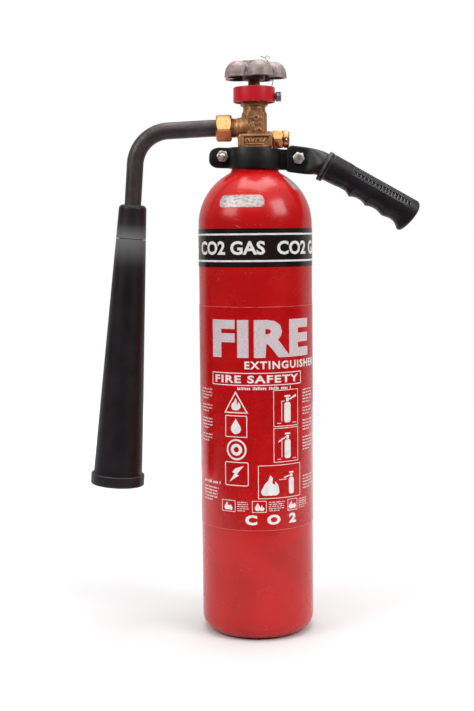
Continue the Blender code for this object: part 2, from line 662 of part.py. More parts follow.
def horn(parent):
    """Neck, nozzle and cone, turned about the leaning axis of the tube's leg."""
    place = (HORN_TOP[0], 0, HORN_TOP[1] - OUTLET_Z)
    frame = make_frame("horn_frame", place, (0, HORN_LEAN, 0))
    frame.parent = parent
    bore = TUBE_R + GAP
    spigot_end = HORN_JOINT + SPIGOT_LONG
    nozzle_end = TUBE_IN_HORN + NOZZLE_LIP
    joint_r = horn_radius(HORN_JOINT)
    neck = [(bore, 0)]
    neck += arc((HORN_TOP_R - SHOULDER_ROUND, -SHOULDER_ROUND), SHOULDER_ROUND, 90, 0, 4)
    neck += [(joint_r, -HORN_JOINT), (SPIGOT_R, -HORN_JOINT), (SPIGOT_R, -spigot_end),
             (NOZZLE_R + GAP, -spigot_end), (NOZZLE_R + GAP, -nozzle_end - GAP),
             (bore + 0.2, -nozzle_end - GAP)]
    neck.append((bore, -TUBE_IN_HORN))
    turned("horn_neck", neck, BLACK_PLASTIC, frame)
    nozzle = [(2.0, -TUBE_IN_HORN + 8), (TUBE_BORE_R - 0.6, -TUBE_IN_HORN + 8),
              (TUBE_BORE_R - 0.6, -TUBE_IN_HORN - GAP), (TUBE_R, -TUBE_IN_HORN - GAP),
              (TUBE_R, -nozzle_end), (2.0, -nozzle_end)]
    turned("discharge_nozzle", nozzle, BRASS, frame, steps=20)
    rim_top = HORN_LENGTH - HORN_RIM_HIGH
    mouth_in = HORN_MOUTH_R - HORN_WALL
    cone = [(SPIGOT_R + GAP, -HORN_JOINT - GAP), (joint_r, -HORN_JOINT - GAP),
            (HORN_MOUTH_R, -rim_top), (HORN_RIM_R - 0.6, -rim_top),
            (HORN_RIM_R, -rim_top - 0.8), (HORN_RIM_R, -HORN_LENGTH + 1.2),
            (HORN_RIM_R - 1.2, -HORN_LENGTH), (mouth_in + 0.8, -HORN_LENGTH),
            (mouth_in, -HORN_LENGTH + 1), (horn_radius(spigot_end + 8) - HORN_WALL,
                                           -spigot_end - 8), (SPIGOT_R + GAP, -spigot_end - 1)]
    turned("horn_cone", cone, BLACK_PLASTIC, frame, steps=32)


def horn_radius(down):
    share = (down - SHOULDER_ROUND) / (HORN_LENGTH - HORN_RIM_HIGH - SHOULDER_ROUND)
    return HORN_TOP_R + (HORN_MOUTH_R - HORN_TOP_R) * share


# ---------------------------------------------------------------- clamp

def strap_path(ear_left):
    """Centre line of one strap, seen from above: ear, bend, half ring, bend, ear."""
    reach = RING_R + EAR_BEND_R
    bend_y = EAR_Y + EAR_BEND_R
    bend_x = math.sqrt(reach ** 2 - bend_y ** 2)
    lift = math.degrees(math.asin(bend_y / reach))
    ear_steps = (0, 0.4, 1.4, 3.2, EAR_ROUND)
    path = [(ear_left + d, -EAR_Y) for d in ear_steps]
    path += arc((-bend_x, -bend_y), EAR_BEND_R, 90, lift, 3)
    path += arc((0, 0), RING_R, 180 + lift, 360 - lift, 18)[1:]
    path += arc((bend_x, -bend_y), EAR_BEND_R, 180 - lift, 90, 3)[1:]
    path += [(EAR_RIGHT - d, -EAR_Y) for d in reversed(ear_steps)]
    return path


def ear_half_height(x, ear_left):
    """Half the strap's height at x, with the ears' ends rounded off."""
    inside = min(x - ear_left, EAR_RIGHT - x, EAR_ROUND)
    share = math.sqrt(1 - (1 - inside / EAR_ROUND) ** 2)
    return STRAP_HIGH / 2 * (0.3 + 0.7 * share)


def clamp_half(name, side, ear_left):
    """One strap; side is 1 for the front half and -1 for the rear one."""
    bm = bmesh.new()
    rows = []
    for x, y in strap_path(ear_left):
        half = ear_half_height(x, ear_left)
        rows.append([bm.verts.new((x * MM, y * side * MM, z * MM)) for z in (-half, half)])
    for left, right in zip(rows, rows[1:]):
        bm.faces.new((left[0], right[0], right[1], left[1]))
    strap = add_part(name, mesh_from(name, bm), BLACK_PAINT, CLAMP)
    solidify(strap, STRAP_THICK, 0.0)
    for tag, x in (("left", BOLT_LEFT), ("right", BOLT_RIGHT)):
        cut(strap, BOLT_HOLES[tag])


def bolt_frame(tag, x):
    """Local z runs towards the front of the extinguisher."""
    frame = make_frame("bolt_frame_" + tag, (x, 0, BOLT_Z), (90, 0, 0))
    frame.parent = CLAMP
    return frame


def clamp_bolt(tag, head, far):
    """A hexagon bolt; head and far are the faces it clamps, along its local z."""
    frame = BOLT_FRAMES[tag]
    towards = 1 if head > far else -1
    seat = head + towards * GAP
    span = sorted((seat, seat + towards * BOLT_HEAD))
    bolt = add_part("clamp_bolt_" + tag, hex_mesh(
        "clamp_bolt_" + tag, BOLT_FLATS, *span), STEEL, frame)
    tip = far - towards * (NUT_THICK + 2.5)
    shank = rod_mesh("bolt_shank_" + tag, BOLT_R, *sorted((tip, seat + towards)), sides=16)
    join(bolt, add_tool("bolt_shank_" + tag, shank, frame))
    near = far - towards * GAP
    span = sorted((near, near - towards * NUT_THICK))
    nut = add_part("clamp_nut_" + tag, hex_mesh(
        "clamp_nut_" + tag, BOLT_FLATS, *span), STEEL, frame)
    hole = rod_mesh("nut_bore_" + tag, BOLT_R + GAP, span[0] - 1, span[1] + 1, sides=16)
    cut(nut, add_tool("nut_bore_" + tag, hole, frame))


# ---------------------------------------------------------------- handle

def handle_axis():
    """Points and directions of the handle tube's centre line in the XZ plane."""
    first = Vector((math.cos(math.radians(HANDLE_SLOPE)), -math.sin(math.radians(HANDLE_SLOPE))))
    last = Vector((math.cos(math.radians(GRIP_SLOPE)), -math.sin(math.radians(GRIP_SLOPE))))
    corner = Vector(HANDLE_CORNER)
    tangent = HANDLE_BEND_R * math.tan(math.radians(GRIP_SLOPE - HANDLE_SLOPE) / 2)
    start = Vector((PADDLE_X, PADDLE_Z))
    straight = (corner - start).length - tangent
    stations = [(start + first * straight * t, first)
                for t in (0, 0.15, 0.4, 0.62, 0.74, 0.87, 1)]
    bend_from, steps = corner - first * tangent, 4
    centre = bend_from + Vector((first.y, -first.x)) * HANDLE_BEND_R
    for i in range(1, steps + 1):
        angle = math.radians(HANDLE_SLOPE + (GRIP_SLOPE - HANDLE_SLOPE) * i / steps)
        along = Vector((math.cos(angle), -math.sin(angle)))
        stations.append((centre - Vector((along.y, -along.x)) * HANDLE_BEND_R, along))
    end = Vector(GRIP_START) + last * (GRIP_BORE - 2)
    stations.append((end, last))
    return stations


def oval(half_y, half_v, power, count):
    """A superellipse, as (y, v) points; power 2 is an ellipse, more is squarer."""
    points = []
    for i in range(count):
        angle = math.tau * (i + 0.5) / count
        c, s = math.cos(angle), math.sin(angle)
        points.append((half_y * math.copysign(abs(c) ** (2 / power), c),
                       half_v * math.copysign(abs(s) ** (2 / power), s)))
    return points


def handle_tube():
    """A tube pressed flat at the clamp and round from there on."""
    rings = []
    stations = handle_axis()
    for place, along in stations:
        run = (place - stations[0][0]).length
        share = min(1.0, max(0.0, (run - PADDLE_LONG) / PADDLE_FADE))
        share = share * share * (3 - 2 * share)
        half_y = PADDLE_THICK / 2 + (HANDLE_R - PADDLE_THICK / 2) * share
        half_v = PADDLE_HIGH / 2 + (HANDLE_R - PADDLE_HIGH / 2) * share
        if run == 0:
            half_v = PADDLE_END_HIGH / 2
        section = oval(half_y, half_v, 7 - 5 * share, 20)
        up = Vector((-along.y, along.x)) if run else Vector((0, 1))
        rings.append([(place.x + up.x * v, HANDLE_Y + y, place.y + up.y * v)
                      for y, v in section])
    tube = add_part("handle_tube", loft("handle_tube", rings, caps=False), BLACK_PAINT)
    solidify(tube, HANDLE_WALL, -1.0)
    cut(tube, BOLT_HOLES["right"])


def grip_floor(u):
    """The grip's lower edge below its axis: waist, three finger grooves and a heel."""
    if u < GROOVE_PEAKS[0]:
        waist_end = GROOVE_PEAKS[0] - 8
        if u < waist_end:
            return -12.4 + (12.4 - GRIP_WAIST) * u / waist_end
        share = (u - waist_end) / 8
        return -GRIP_WAIST - (GROOVE_OUT - GRIP_WAIST) * share ** 1.6
    outs = (GROOVE_OUT, GROOVE_OUT, GROOVE_OUT, HEEL_OUT)
    for i, (start, end) in enumerate(zip(GROOVE_PEAKS, GROOVE_PEAKS[1:])):
        if u <= end:
            share = (u - start) / (end - start)
            peak = outs[i] + (outs[i + 1] - outs[i]) * share
            depth = peak - GROOVE_IN - 0.6 * i
            return -peak + depth * 4 * share * (1 - share)
    return -HEEL_OUT


def grip_end(v):
    """How far along the axis the grip's rounded end reaches at height v."""
    fall = 0.0285 if v > 4.7 else 0.0134
    return GRIP_LENGTH - fall * (v - 4.7) ** 2


def handle_grip():
    """Plastic grip with a flange; local x runs along it, local z up."""
    frame = make_frame("grip_frame", (GRIP_START[0], HANDLE_Y, GRIP_START[1]),
                       (0, GRIP_SLOPE, 0))
    shaped_from = 80.0
    stations = [-FLANGE_HALF, FLANGE_HALF, FLANGE_HALF + 0.2, 15.0, 26.0, 29.0, 31.5]
    for start, end in zip(GROOVE_PEAKS, GROOVE_PEAKS[1:]):
        stations += [start + (end - start) * i / 6 for i in range(6)]
    stations += [GROOVE_PEAKS[-1], GRIP_LENGTH - 4, GRIP_LENGTH - 1.5, GRIP_LENGTH]
    rings = []
    for u in stations:
        top, bottom, half = GRIP_TOP, grip_floor(u), GRIP_HALF_WIDE
        if u <= FLANGE_HALF:
            top, bottom, half = FLANGE_TOP, FLANGE_BOTTOM, FLANGE_TOP
        middle, high = (top + bottom) / 2, (top - bottom) / 2
        ring = []
        for y, v in oval(half, high, 2.3, 18):
            v += middle
            x = u
            if u > shaped_from:
                share = (u - shaped_from) / (GRIP_LENGTH - shaped_from)
                x = shaped_from + share * (grip_end(v) - shaped_from)
            ring.append((x, y, v))
        rings.append(ring)
    grip = add_part("handle_grip", loft("handle_grip", rings, caps=True), BLACK_PLASTIC, frame)
    bore = rod_mesh("grip_bore", HANDLE_R + 0.6, -FLANGE_HALF - 1, GRIP_BORE)
    tool = add_tool("grip_bore", bore, frame)
    tool.rotation_euler = (0, math.pi / 2, 0)
    cut(grip, tool)


clear_scene()
PARTS = make_collection("fire_extinguisher")
TOOLS = make_collection("cutters")
OUTLET = make_frame("outlet_frame", (0, 0, OUTLET_Z), (0, -90, 0))
PORT = make_frame("port_frame", (0, 0, PORT_Z), (0, 90, 0))
CLAMP = make_frame("clamp_frame", (0, 0, CLAMP_Z), (0, CLAMP_TILT, 0))
WHEEL_AXIS = make_frame("wheel_axis", (0, 0, 0))
PLUG_AXIS = make_frame("plug_axis", (0, 0, 0))
SWIVEL = make_frame("swivel_axis", (0, 0, OUTLET_Z))
BOLT_FRAMES = {"left": bolt_frame("left", BOLT_LEFT), "right": bolt_frame("right", BOLT_RIGHT)}
BOLT_HOLES = {tag: add_tool("bolt_hole_" + tag, rod_mesh(
    "bolt_hole_" + tag, BOLT_R + 0.4, -25, 25, sides=16), frame)
    for tag, frame in BOLT_FRAMES.items()}

cylinder_shell()
agent_band_label()
instruction_label()
valve_body()
dip_tube()
gland()
tamper_collar()
safety_plug()
union()
lead_seal()
spindle(WHEEL_AXIS)
handwheel(WHEEL_AXIS)
seal_wires(WHEEL_AXIS)
valve_plug(PLUG_AXIS)
discharge_tube(SWIVEL)
tube_ferrule(SWIVEL)
horn(SWIVEL)
clamp_half("clamp_front", 1, EAR_LEFT)
clamp_half("clamp_rear", -1, EAR_LEFT - REAR_EAR_EXTRA)
EAR_FACE = EAR_Y + STRAP_THICK / 2
clamp_bolt("left", -EAR_FACE, EAR_FACE)
clamp_bolt("right", EAR_FACE + GAP + PADDLE_THICK, -EAR_FACE)
handle_tube()
handle_grip()
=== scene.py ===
"""The look of a carbon dioxide fire extinguisher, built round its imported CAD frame.

Lengths in the helpers are in millimetres and angles in degrees. The frame stands on
its base at the origin with +Z up; the front is -Y, the horn hangs on the -X side and
the handle is on the +X side.
"""
import json
import math

import bmesh
import bpy
from mathutils import Matrix, Vector, noise


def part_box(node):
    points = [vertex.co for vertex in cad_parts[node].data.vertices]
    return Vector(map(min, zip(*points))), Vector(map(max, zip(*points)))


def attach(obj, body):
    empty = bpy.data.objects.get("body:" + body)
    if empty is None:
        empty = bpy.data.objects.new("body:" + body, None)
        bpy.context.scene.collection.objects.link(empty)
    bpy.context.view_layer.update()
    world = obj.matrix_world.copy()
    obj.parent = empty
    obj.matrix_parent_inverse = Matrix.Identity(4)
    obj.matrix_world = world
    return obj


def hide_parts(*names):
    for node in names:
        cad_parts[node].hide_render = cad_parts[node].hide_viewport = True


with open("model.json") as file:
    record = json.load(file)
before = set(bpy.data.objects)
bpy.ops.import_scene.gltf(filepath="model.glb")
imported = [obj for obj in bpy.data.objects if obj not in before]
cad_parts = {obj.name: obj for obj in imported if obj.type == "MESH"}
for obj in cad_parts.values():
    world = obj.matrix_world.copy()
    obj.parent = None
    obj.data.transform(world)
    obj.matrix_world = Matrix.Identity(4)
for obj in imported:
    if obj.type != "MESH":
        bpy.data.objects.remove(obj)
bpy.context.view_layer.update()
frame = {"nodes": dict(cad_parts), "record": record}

MM = 0.001


def span(node):
    """Lowest and highest corner of a CAD node, in mm."""
    low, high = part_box(node)
    return low / MM, high / MM


SHELL_HIGH = span("cylinder_shell")[1]
BAND_LOW, BAND_HIGH = span("agent_band_label")
NOTICE_LOW, NOTICE_HIGH = span("instruction_label")
BODY_LOW, BODY_HIGH = span("valve_body")
COLLAR_LOW, COLLAR_HIGH = span("tamper_collar")
WHEEL_LOW, WHEEL_HIGH = span("handwheel")
SPINDLE_LOW, SPINDLE_HIGH = span("spindle")
GLAND_LOW, GLAND_HIGH = span("gland_nut")
UNION_LOW, UNION_HIGH = span("union_nut")
PLUG_LOW, PLUG_HIGH = span("safety_plug")
SEAL_LOW, SEAL_HIGH = span("lead_seal")

# Cylinder
CYL_R = SHELL_HIGH.x
NECK_TOP = SHELL_HIGH.z
NECK_R, NECK_BORE_R, NECK_FILLET = 22.0, 12.8, 5.6
CYL_WALL, BASE_FILLET, BASE_THICK = 3.5, 15.0, 5.5
DOME_Z = 392.4
LABEL_R = BAND_HIGH.x

# Valve
COLUMN_R, COLUMN_FLAT, COLUMN_TURN = 12.0, 9.5, 9.0
COLUMN_HIGH, BODY_NECK_R = 499.0, 10.5
BLOCK_LOW, BLOCK_HIGH = NECK_TOP + 0.3, 477.0
BLOCK_X, BLOCK_Y = (-15.7, 16.8), (-15.0, 15.0)
PLATE_X, PLATE_FRONT = (-12.5, 16.8), BODY_LOW.y
OUTLET_Z = (UNION_LOW.z + UNION_HIGH.z) / 2
OUTLET_R, OUTLET_END = 9.3, -BODY_LOW.x
PORT_Z = (PLUG_LOW.z + PLUG_HIGH.z) / 2
CHAMBER_R, GLAND_R, CHAMBER_HIGH = 7.3, 8.6, 500.5
SPINDLE_R, WIRE_HOLE = 5.6, (16.7, -3.7)
SEAL_MID = (SEAL_LOW + SEAL_HIGH) / 2
SEAT_R, SEAT_HIGH, SEAT_LOW = 2.5, 479.0, 475.2
RISER_R, DIP_SOCKET_R, DIP_SOCKET_HIGH = 3.5, 5.0, 440.3
GLAND_FLATS, GLAND_THREAD_HIGH = 24.0, 510.8
UNION_FLATS, UNION_BORE_R, UNION_THREAD_END = 24.0, 8.45, 32.6
PLUG_FLATS, PLUG_HEX_END, PLUG_CAP_R, PLUG_BORE_R = 16.2, 27.0, 8.1, 1.6
PANEL_ROWS, PLATE_ROWS = (491.6, 486.4, 481.4), (470.6, 467.0)

# Handwheel
WHEEL_LOBES, WHEEL_TURN = 5, -73.0
KNUCKLE_AT, KNUCKLE_R, KNUCKLE_DROP, KNUCKLE_POWER = 18.6, 12.2, 1.5, 2.1
RAMP_LOW, RAMP_HIGH, CROWN_DROP = 22.4, 12.4, 0.9
WHEEL_SKIN, WHEEL_RIM, KNUCKLE_FOOT = 3.0, WHEEL_LOW.z + 1.9, 1.6
HUB_LOW, HUB_SEAT, HUB_HIGH = 527.5, 540.2, 543.5
WHEEL_NUT_FLATS = 10.0

# Discharge tube and horn
TUBE_R, TUBE_BORE_R, TUBE_STRAIGHT = 7.95, 5.5, 41.0
TUBE_BEND_R, TUBE_DROOP = 33.5, 2.7
TUBE_START, TUBE_IN_HORN = 29.0, 26.0
HORN_TOP, HORN_LEAN = Vector((-116.55, 0.0, 411.9)), 4.18
HORN_LENGTH, HORN_JOINT, HORN_RIM_HIGH = 270.5, 32.4, 10.6
HORN_TOP_R, HORN_MOUTH_R, HORN_RIM_R, HORN_WALL = 13.2, 23.5, 25.9, 2.6
SPIGOT_R, SPIGOT_BORE_R, SPIGOT_LONG, NOZZLE_DOWN = 11.0, 8.3, 10, 31.3

# Clamp
CLAMP_Z, CLAMP_TILT = 454.2, 2.2
STRAP_THICK, STRAP_HIGH, RING_R = 2.2, 19.2, 23.9
EAR_Y, EAR_BEND_R, EAR_ROUND = 2.1, 1.9, 8.6
EAR_LEFT, EAR_RIGHT, REAR_EAR_EXTRA = -42.0, 48.6, 1.3
BOLT_R, BOLT_FLATS, BOLT_HEAD, NUT_THICK = 3.0, 9.8, 4.0, 5.0
BOLT_LEFT, BOLT_RIGHT, BOLT_Z = -30.4, 41.4, 1.3

# Handle
PADDLE_THICK, PADDLE_HIGH, PADDLE_END_HIGH = 4.6, 25.2, 19.4
PADDLE_START, PADDLE_LONG, PADDLE_FADE = Vector((30.6, 454.1)), 16.5, 19.0
HANDLE_Y = -(EAR_Y + STRAP_THICK / 2 + 0.3 + PADDLE_THICK / 2)
HANDLE_SLOPE, GRIP_SLOPE = 8.0, 29.5
HANDLE_CORNER, HANDLE_BEND_R, HANDLE_R = Vector((61.1, 449.85)), 25.0, 11.4
GRIP_START, GRIP_LENGTH, GRIP_BORE = Vector((67.3, 446.3)), 96.2, 85.0
GRIP_HALF_WIDE, GRIP_TOP, GRIP_WAIST = 12.6, 13.5, 11.0
FLANGE_TOP, FLANGE_BOTTOM, FLANGE_HALF = 14.4, -15.3, 2.9
GROOVE_PEAKS = (33.0, 50.5, 67.5, 91.5)
GROOVE_OUT, GROOVE_IN, HEEL_OUT = 14.6, 11.9, 19.0


# ---------------------------------------------------------------- mesh helpers

def turned(degrees, axis):
    """A rotation about one axis."""
    return Matrix.Rotation(math.radians(degrees), 4, axis)


def moved(x, y, z):
    """A shift in mm."""
    return Matrix.Translation((x, y, z))


def put(name, bm, finish, body, *nodes, sharp=33):
    """Make a piece of a mesh in mm; finish is a slot's name or a material."""
    bmesh.ops.remove_doubles(bm, verts=bm.verts, dist=0.0005)
    bmesh.ops.recalc_face_normals(bm, faces=bm.faces)
    bm.transform(Matrix.Scale(MM, 4))
    mesh = bpy.data.meshes.new(name)
    bm.to_mesh(mesh)
    bm.free()
    mesh.shade_smooth()
    mesh.set_sharp_from_angle(angle=math.radians(sharp))
    obj = bpy.data.objects.new(name, mesh)
    bpy.context.scene.collection.objects.link(obj)
    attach(obj, body)
    if nodes:
        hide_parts(*nodes)
    if finish in FINISHES:
        finish = FINISHES[finish]
    mesh.materials.append(finish)
    return obj


def skin(bm, rings, ends=True, place=None):
    """Join closed rows of points with faces; ends caps the first and the last."""
    rows = [[bm.verts.new(place @ Vector(p) if place else Vector(p)) for p in ring]
            for ring in rings]
    count = len(rows[0])
    for low, high in zip(rows, rows[1:]):
        for i in range(count):
            j = (i + 1) % count
            bm.faces.new((low[i], low[j], high[j], high[i]))
    if ends:
        bm.faces.new(rows[0])
        bm.faces.new(list(reversed(rows[-1])))


def turn_profile(bm, profile, steps=96, place=None, closed=True):
    """Turn a closed outline of (radius, height) points about local z."""
    place = place or Matrix()
    rings = []
    for r, z in profile:
        if r < 1e-4:
            rings.append([bm.verts.new(place @ Vector((0, 0, z)))] * steps)
            continue
        rings.append([bm.verts.new(place @ Vector((r * math.cos(math.tau * i / steps),
                                                   r * math.sin(math.tau * i / steps), z)))
                      for i in range(steps)])
    pairs = list(zip(rings, rings[1:])) + ([(rings[-1], rings[0])] if closed else [])
    for a, b in pairs:
        for i in range(steps):
            j = (i + 1) % steps
            corners = list(dict.fromkeys((a[i], a[j], b[j], b[i])))
            if len(corners) > 2:
                bm.faces.new(corners)


def soften(points, radius, steps=4, closed=True):
    """Round the corners of an outline; radius is one number, or one per corner."""
    radii = radius if isinstance(radius, (list, tuple)) else [radius] * len(points)
    line = [Vector(p) for p in points]
    out = []
    for i, corner in enumerate(line):
        if radii[i] <= 0 or (not closed and i in (0, len(line) - 1)):
            out.append(tuple(corner))
            continue
        back, on = line[i - 1] - corner, line[(i + 1) % len(line)] - corner
        reach = min(radii[i], back.length * 0.48, on.length * 0.48)
        start, end = corner + back.normalized() * reach, corner + on.normalized() * reach
        for k in range(steps + 1):
            t = k / steps
            out.append(tuple(start * (1 - t) ** 2 + corner * 2 * t * (1 - t) + end * t * t))
    return out


def arc(centre, radius, start, end, steps):
    """Points on a circle from one angle in degrees to another."""
    angles = [math.radians(start + (end - start) * i / steps) for i in range(steps + 1)]
    return [(centre[0] + radius * math.cos(a), centre[1] + radius * math.sin(a))
            for a in angles]


def rounded_box(bm, x, y, z, radius, segments=3, place=None):
    """A box from three (low, high) pairs with rounded edges."""
    size = Matrix.Diagonal([b - a for a, b in (x, y, z)] + [1.0])
    centre = Matrix.Translation([(a + b) / 2 for a, b in (x, y, z)])
    made = bmesh.ops.create_cube(bm, size=1.0, matrix=(place or Matrix()) @ centre @ size)
    edges = list({e for v in made["verts"] for e in v.link_edges})
    bmesh.ops.bevel(bm, geom=edges, offset=radius, segments=segments, profile=0.5,
                    affect="EDGES", clamp_overlap=True)


def heading(path, i):
    """The direction of a path at one of its points."""
    return (path[min(i + 1, len(path) - 1)] - path[max(i - 1, 0)]).normalized()


def carried(path):
    """Each point of a path with two directions across it that don't twist on the way."""
    side = None
    for i, point in enumerate(path):
        ahead = heading(path, i)
        side = side or ahead.orthogonal()
        side = (side - ahead * ahead.dot(side)).normalized()
        yield point, side, ahead.cross(side)


def sweep(bm, path, radius, sides=10):
    """A round wire along a path."""
    angles = [math.tau * k / sides for k in range(sides)]
    skin(bm, [[point + (side * math.cos(a) + other * math.sin(a)) * radius for a in angles]
              for point, side, other in carried(path)])


def spline(points, pieces):
    """A Catmull-Rom curve through hand-set points."""
    line = [Vector(p) for p in points]
    line = [2 * line[0] - line[1]] + line + [2 * line[-1] - line[-2]]
    path = []
    for before, start, end, after in zip(line, line[1:], line[2:], line[3:]):
        for i in range(pieces):
            t = i / pieces
            path.append(0.5 * (2 * start + (end - before) * t
                               + (2 * before - 5 * start + 4 * end - after) * t ** 2
                               + (3 * start - before - 3 * end + after) * t ** 3))
    return path + [line[-2]]


def apply_modifiers(obj):
    """Turn an object's modifiers into its mesh."""
    graph = bpy.context.evaluated_depsgraph_get()
    mesh = bpy.data.meshes.new_from_object(obj.evaluated_get(graph))
    obj.modifiers.clear()
    old, obj.data = obj.data, mesh
    bpy.data.meshes.remove(old)


def workpiece(bm):
    """A plain object in mm for Boolean and remesh work, before it becomes a piece."""
    bmesh.ops.remove_doubles(bm, verts=bm.verts, dist=0.0005)
    bmesh.ops.recalc_face_normals(bm, faces=bm.faces)
    mesh = bpy.data.meshes.new("work")
    bm.to_mesh(mesh)
    bm.free()
    obj = bpy.data.objects.new("work", mesh)
    bpy.context.scene.collection.objects.link(obj)
    return obj


def made(shape, *sizes, **more):
    """A new mesh with what one of the shape functions adds to it."""
    bm = bmesh.new()
    shape(bm, *sizes, **more)
    return bm


def solid(shape, *sizes, **more):
    """What one of the shape functions adds, as a workpiece."""
    return workpiece(made(shape, *sizes, **more))


def carve(obj, tool, operation="DIFFERENCE"):
    """Apply a Boolean and drop its tool."""
    mod = obj.modifiers.new("carve", "BOOLEAN")
    mod.operation, mod.object, mod.solver = operation, tool, "MANIFOLD"
    apply_modifiers(obj)
    bpy.data.objects.remove(tool, do_unlink=True)


def melt(obj, voxel, smooth):
    """Fuse overlapping shells into one cast skin, smoothed the given number of times."""
    mod = obj.modifiers.new("fuse", "REMESH")
    mod.mode, mod.voxel_size = "VOXEL", voxel
    mod = obj.modifiers.new("smooth", "SMOOTH")
    mod.factor, mod.iterations = 0.5, smooth
    apply_modifiers(obj)


def back_to_bmesh(obj):
    """A workpiece's mesh, with the workpiece removed."""
    bm = bmesh.new()
    bm.from_mesh(obj.data)
    bpy.data.objects.remove(obj, do_unlink=True)
    return bm


# ---------------------------------------------------------------- materials

def srgb(red, green, blue):
    """A linear colour from 0-255 display values."""
    def linear(value):
        share = value / 255
        return share / 12.92 if share <= 0.04045 else ((share + 0.055) / 1.055) ** 2.4
    return (linear(red), linear(green), linear(blue), 1.0)


class Finish:
    """A Principled material; its patterns run in object space, in millimetres."""

    def __init__(self, name, **values):
        self.material = bpy.data.materials.new(name)
        self.material.use_nodes = True
        self.tree = self.material.node_tree
        self.shader = self.tree.nodes["Principled BSDF"]
        self.set(**values)
        self.surface = None
        self.object_space = self.add("TexCoord").outputs["Object"]

    def add(self, kind, inputs=(), **settings):
        """A node; inputs are sockets or values, in the node's own order or by name."""
        node = self.tree.nodes.new("ShaderNode" + kind)
        for key, value in settings.items():
            setattr(node, key, value)
        pairs = inputs.items() if isinstance(inputs, dict) else enumerate(inputs)
        for key, value in pairs:
            if isinstance(value, bpy.types.NodeSocket):
                self.tree.links.new(value, node.inputs[key])
            elif value is not None:
                node.inputs[key].default_value = value
        return node

    def set(self, **values):
        """Set or drive the shader's own sockets, such as Base_Color."""
        for key, value in values.items():
            socket = self.shader.inputs[key.replace("_", " ")]
            if isinstance(value, bpy.types.NodeSocket):
                self.tree.links.new(value, socket)
            else:
                socket.default_value = value

    def sum(self, operation, *inputs):
        """One step of arithmetic on sockets and numbers."""
        return self.add("Math", inputs, operation=operation).outputs[0]

    def times(self, first, second):
        return self.sum("MULTIPLY", first, second)

    def plus(self, first, second):
        return self.sum("ADD", first, second)

    def less(self, first, second):
        return self.sum("SUBTRACT", first, second)

    def length(self, x, y):
        """The length of a flat vector."""
        return self.sum("SQRT", self.plus(self.times(x, x), self.times(y, y)))

    def mm(self, stretch=(1, 1, 1), turn=(0, 0, 0)):
        """Object space in millimetres; a larger stretch gives longer features."""
        turned = self.add("VectorRotate", {"Vector": self.object_space, "Rotation":
                          [math.radians(a) for a in turn]}, rotation_type="EULER_XYZ")
        node = self.add("Mapping", {"Vector": turned.outputs[0], "Scale":
                        [1 / (MM * s) for s in stretch]})
        return node.outputs[0]

    def axis(self, name):
        """One coordinate in millimetres."""
        return self.add("SeparateXYZ", [self.mm()]).outputs[name]

    def noise(self, size, detail=3.0, rough=0.5, stretch=(1, 1, 1), turn=(0, 0, 0), twist=0.0):
        node = self.add("TexNoise", {"Vector": self.mm(stretch, turn), "Scale": 1 / size,
                                     "Detail": detail, "Roughness": rough,
                                     "Distortion": twist})
        return node.outputs[0]

    def rise(self, value, low, high, out_low=0.0, out_high=1.0):
        """A smooth step from out_low to out_high as value goes from low to high."""
        node = self.add("MapRange", {"Value": value, "From Min": low, "From Max": high,
                                     "To Min": out_low, "To Max": out_high},
                        interpolation_type="SMOOTHSTEP")
        return node.outputs[0]

    def blend(self, share, first, second):
        node = self.add("Mix", {0: share, 6: first, 7: second}, data_type="RGBA")
        return node.outputs[2]

    def edges(self, low, high):
        """1 on convex edges of a finely meshed piece."""
        point = self.add("NewGeometry").outputs["Pointiness"]
        return self.rise(point, low, high)

    def hollows(self, reach, low, high):
        """1 in hollows that are narrower than the reach in mm, 0 in the open."""
        open_sky = self.add("AmbientOcclusion", {"Distance": reach * MM}, only_local=True,
                            samples=8).outputs["AO"]
        return self.rise(open_sky, low, high, 1.0, 0.0)

    def bump(self, height, depth):
        """Add relief of a depth in mm; later relief rides on earlier relief."""
        inputs = {"Height": height, "Distance": depth * MM, "Strength": 1.0}
        if self.surface:
            inputs["Normal"] = self.surface
        self.surface = self.add("Bump", inputs).outputs[0]
        self.tree.links.new(self.surface, self.shader.inputs["Normal"])
        return self

    def mottle(self, colour, other, size, low=0.35, high=0.65, **kind):
        return self.blend(self.rise(self.noise(size, **kind), low, high), colour, other)

    def gloss(self, size, low, high):
        """Roughness that drifts between two values over patches of a size."""
        return self.rise(self.noise(size, 4.0, 0.6), 0.3, 0.75, low, high)

    def scratches(self, length, width, turn, share=0.06):
        """1 along a few fine straight scratches."""
        lines = self.noise(1.0, 2.0, 0.6, (length, width, width), turn)
        where = self.noise(length * 0.8, 1.0)
        gate = self.rise(where, 0.5, 0.62)
        return self.times(self.rise(lines, 0.70 - share, 0.72), gate)

    def speckle(self, size, share):
        """1 on small scattered specks that cover about the given share."""
        return self.rise(self.noise(size, 2.0, 0.7), 0.74 - share, 0.76 - share)


def pad_distance(f, across, up, half_across, half_up, corner):
    """Signed distance in mm from the edge of a rounded rectangle; negative inside."""
    parts = []
    for value, half in ((across, half_across), (up, half_up)):
        away = f.sum("ABSOLUTE", value)
        parts.append(f.sum("MAXIMUM", f.less(away, half - corner), 0.0))
    return f.less(f.length(*parts), corner)


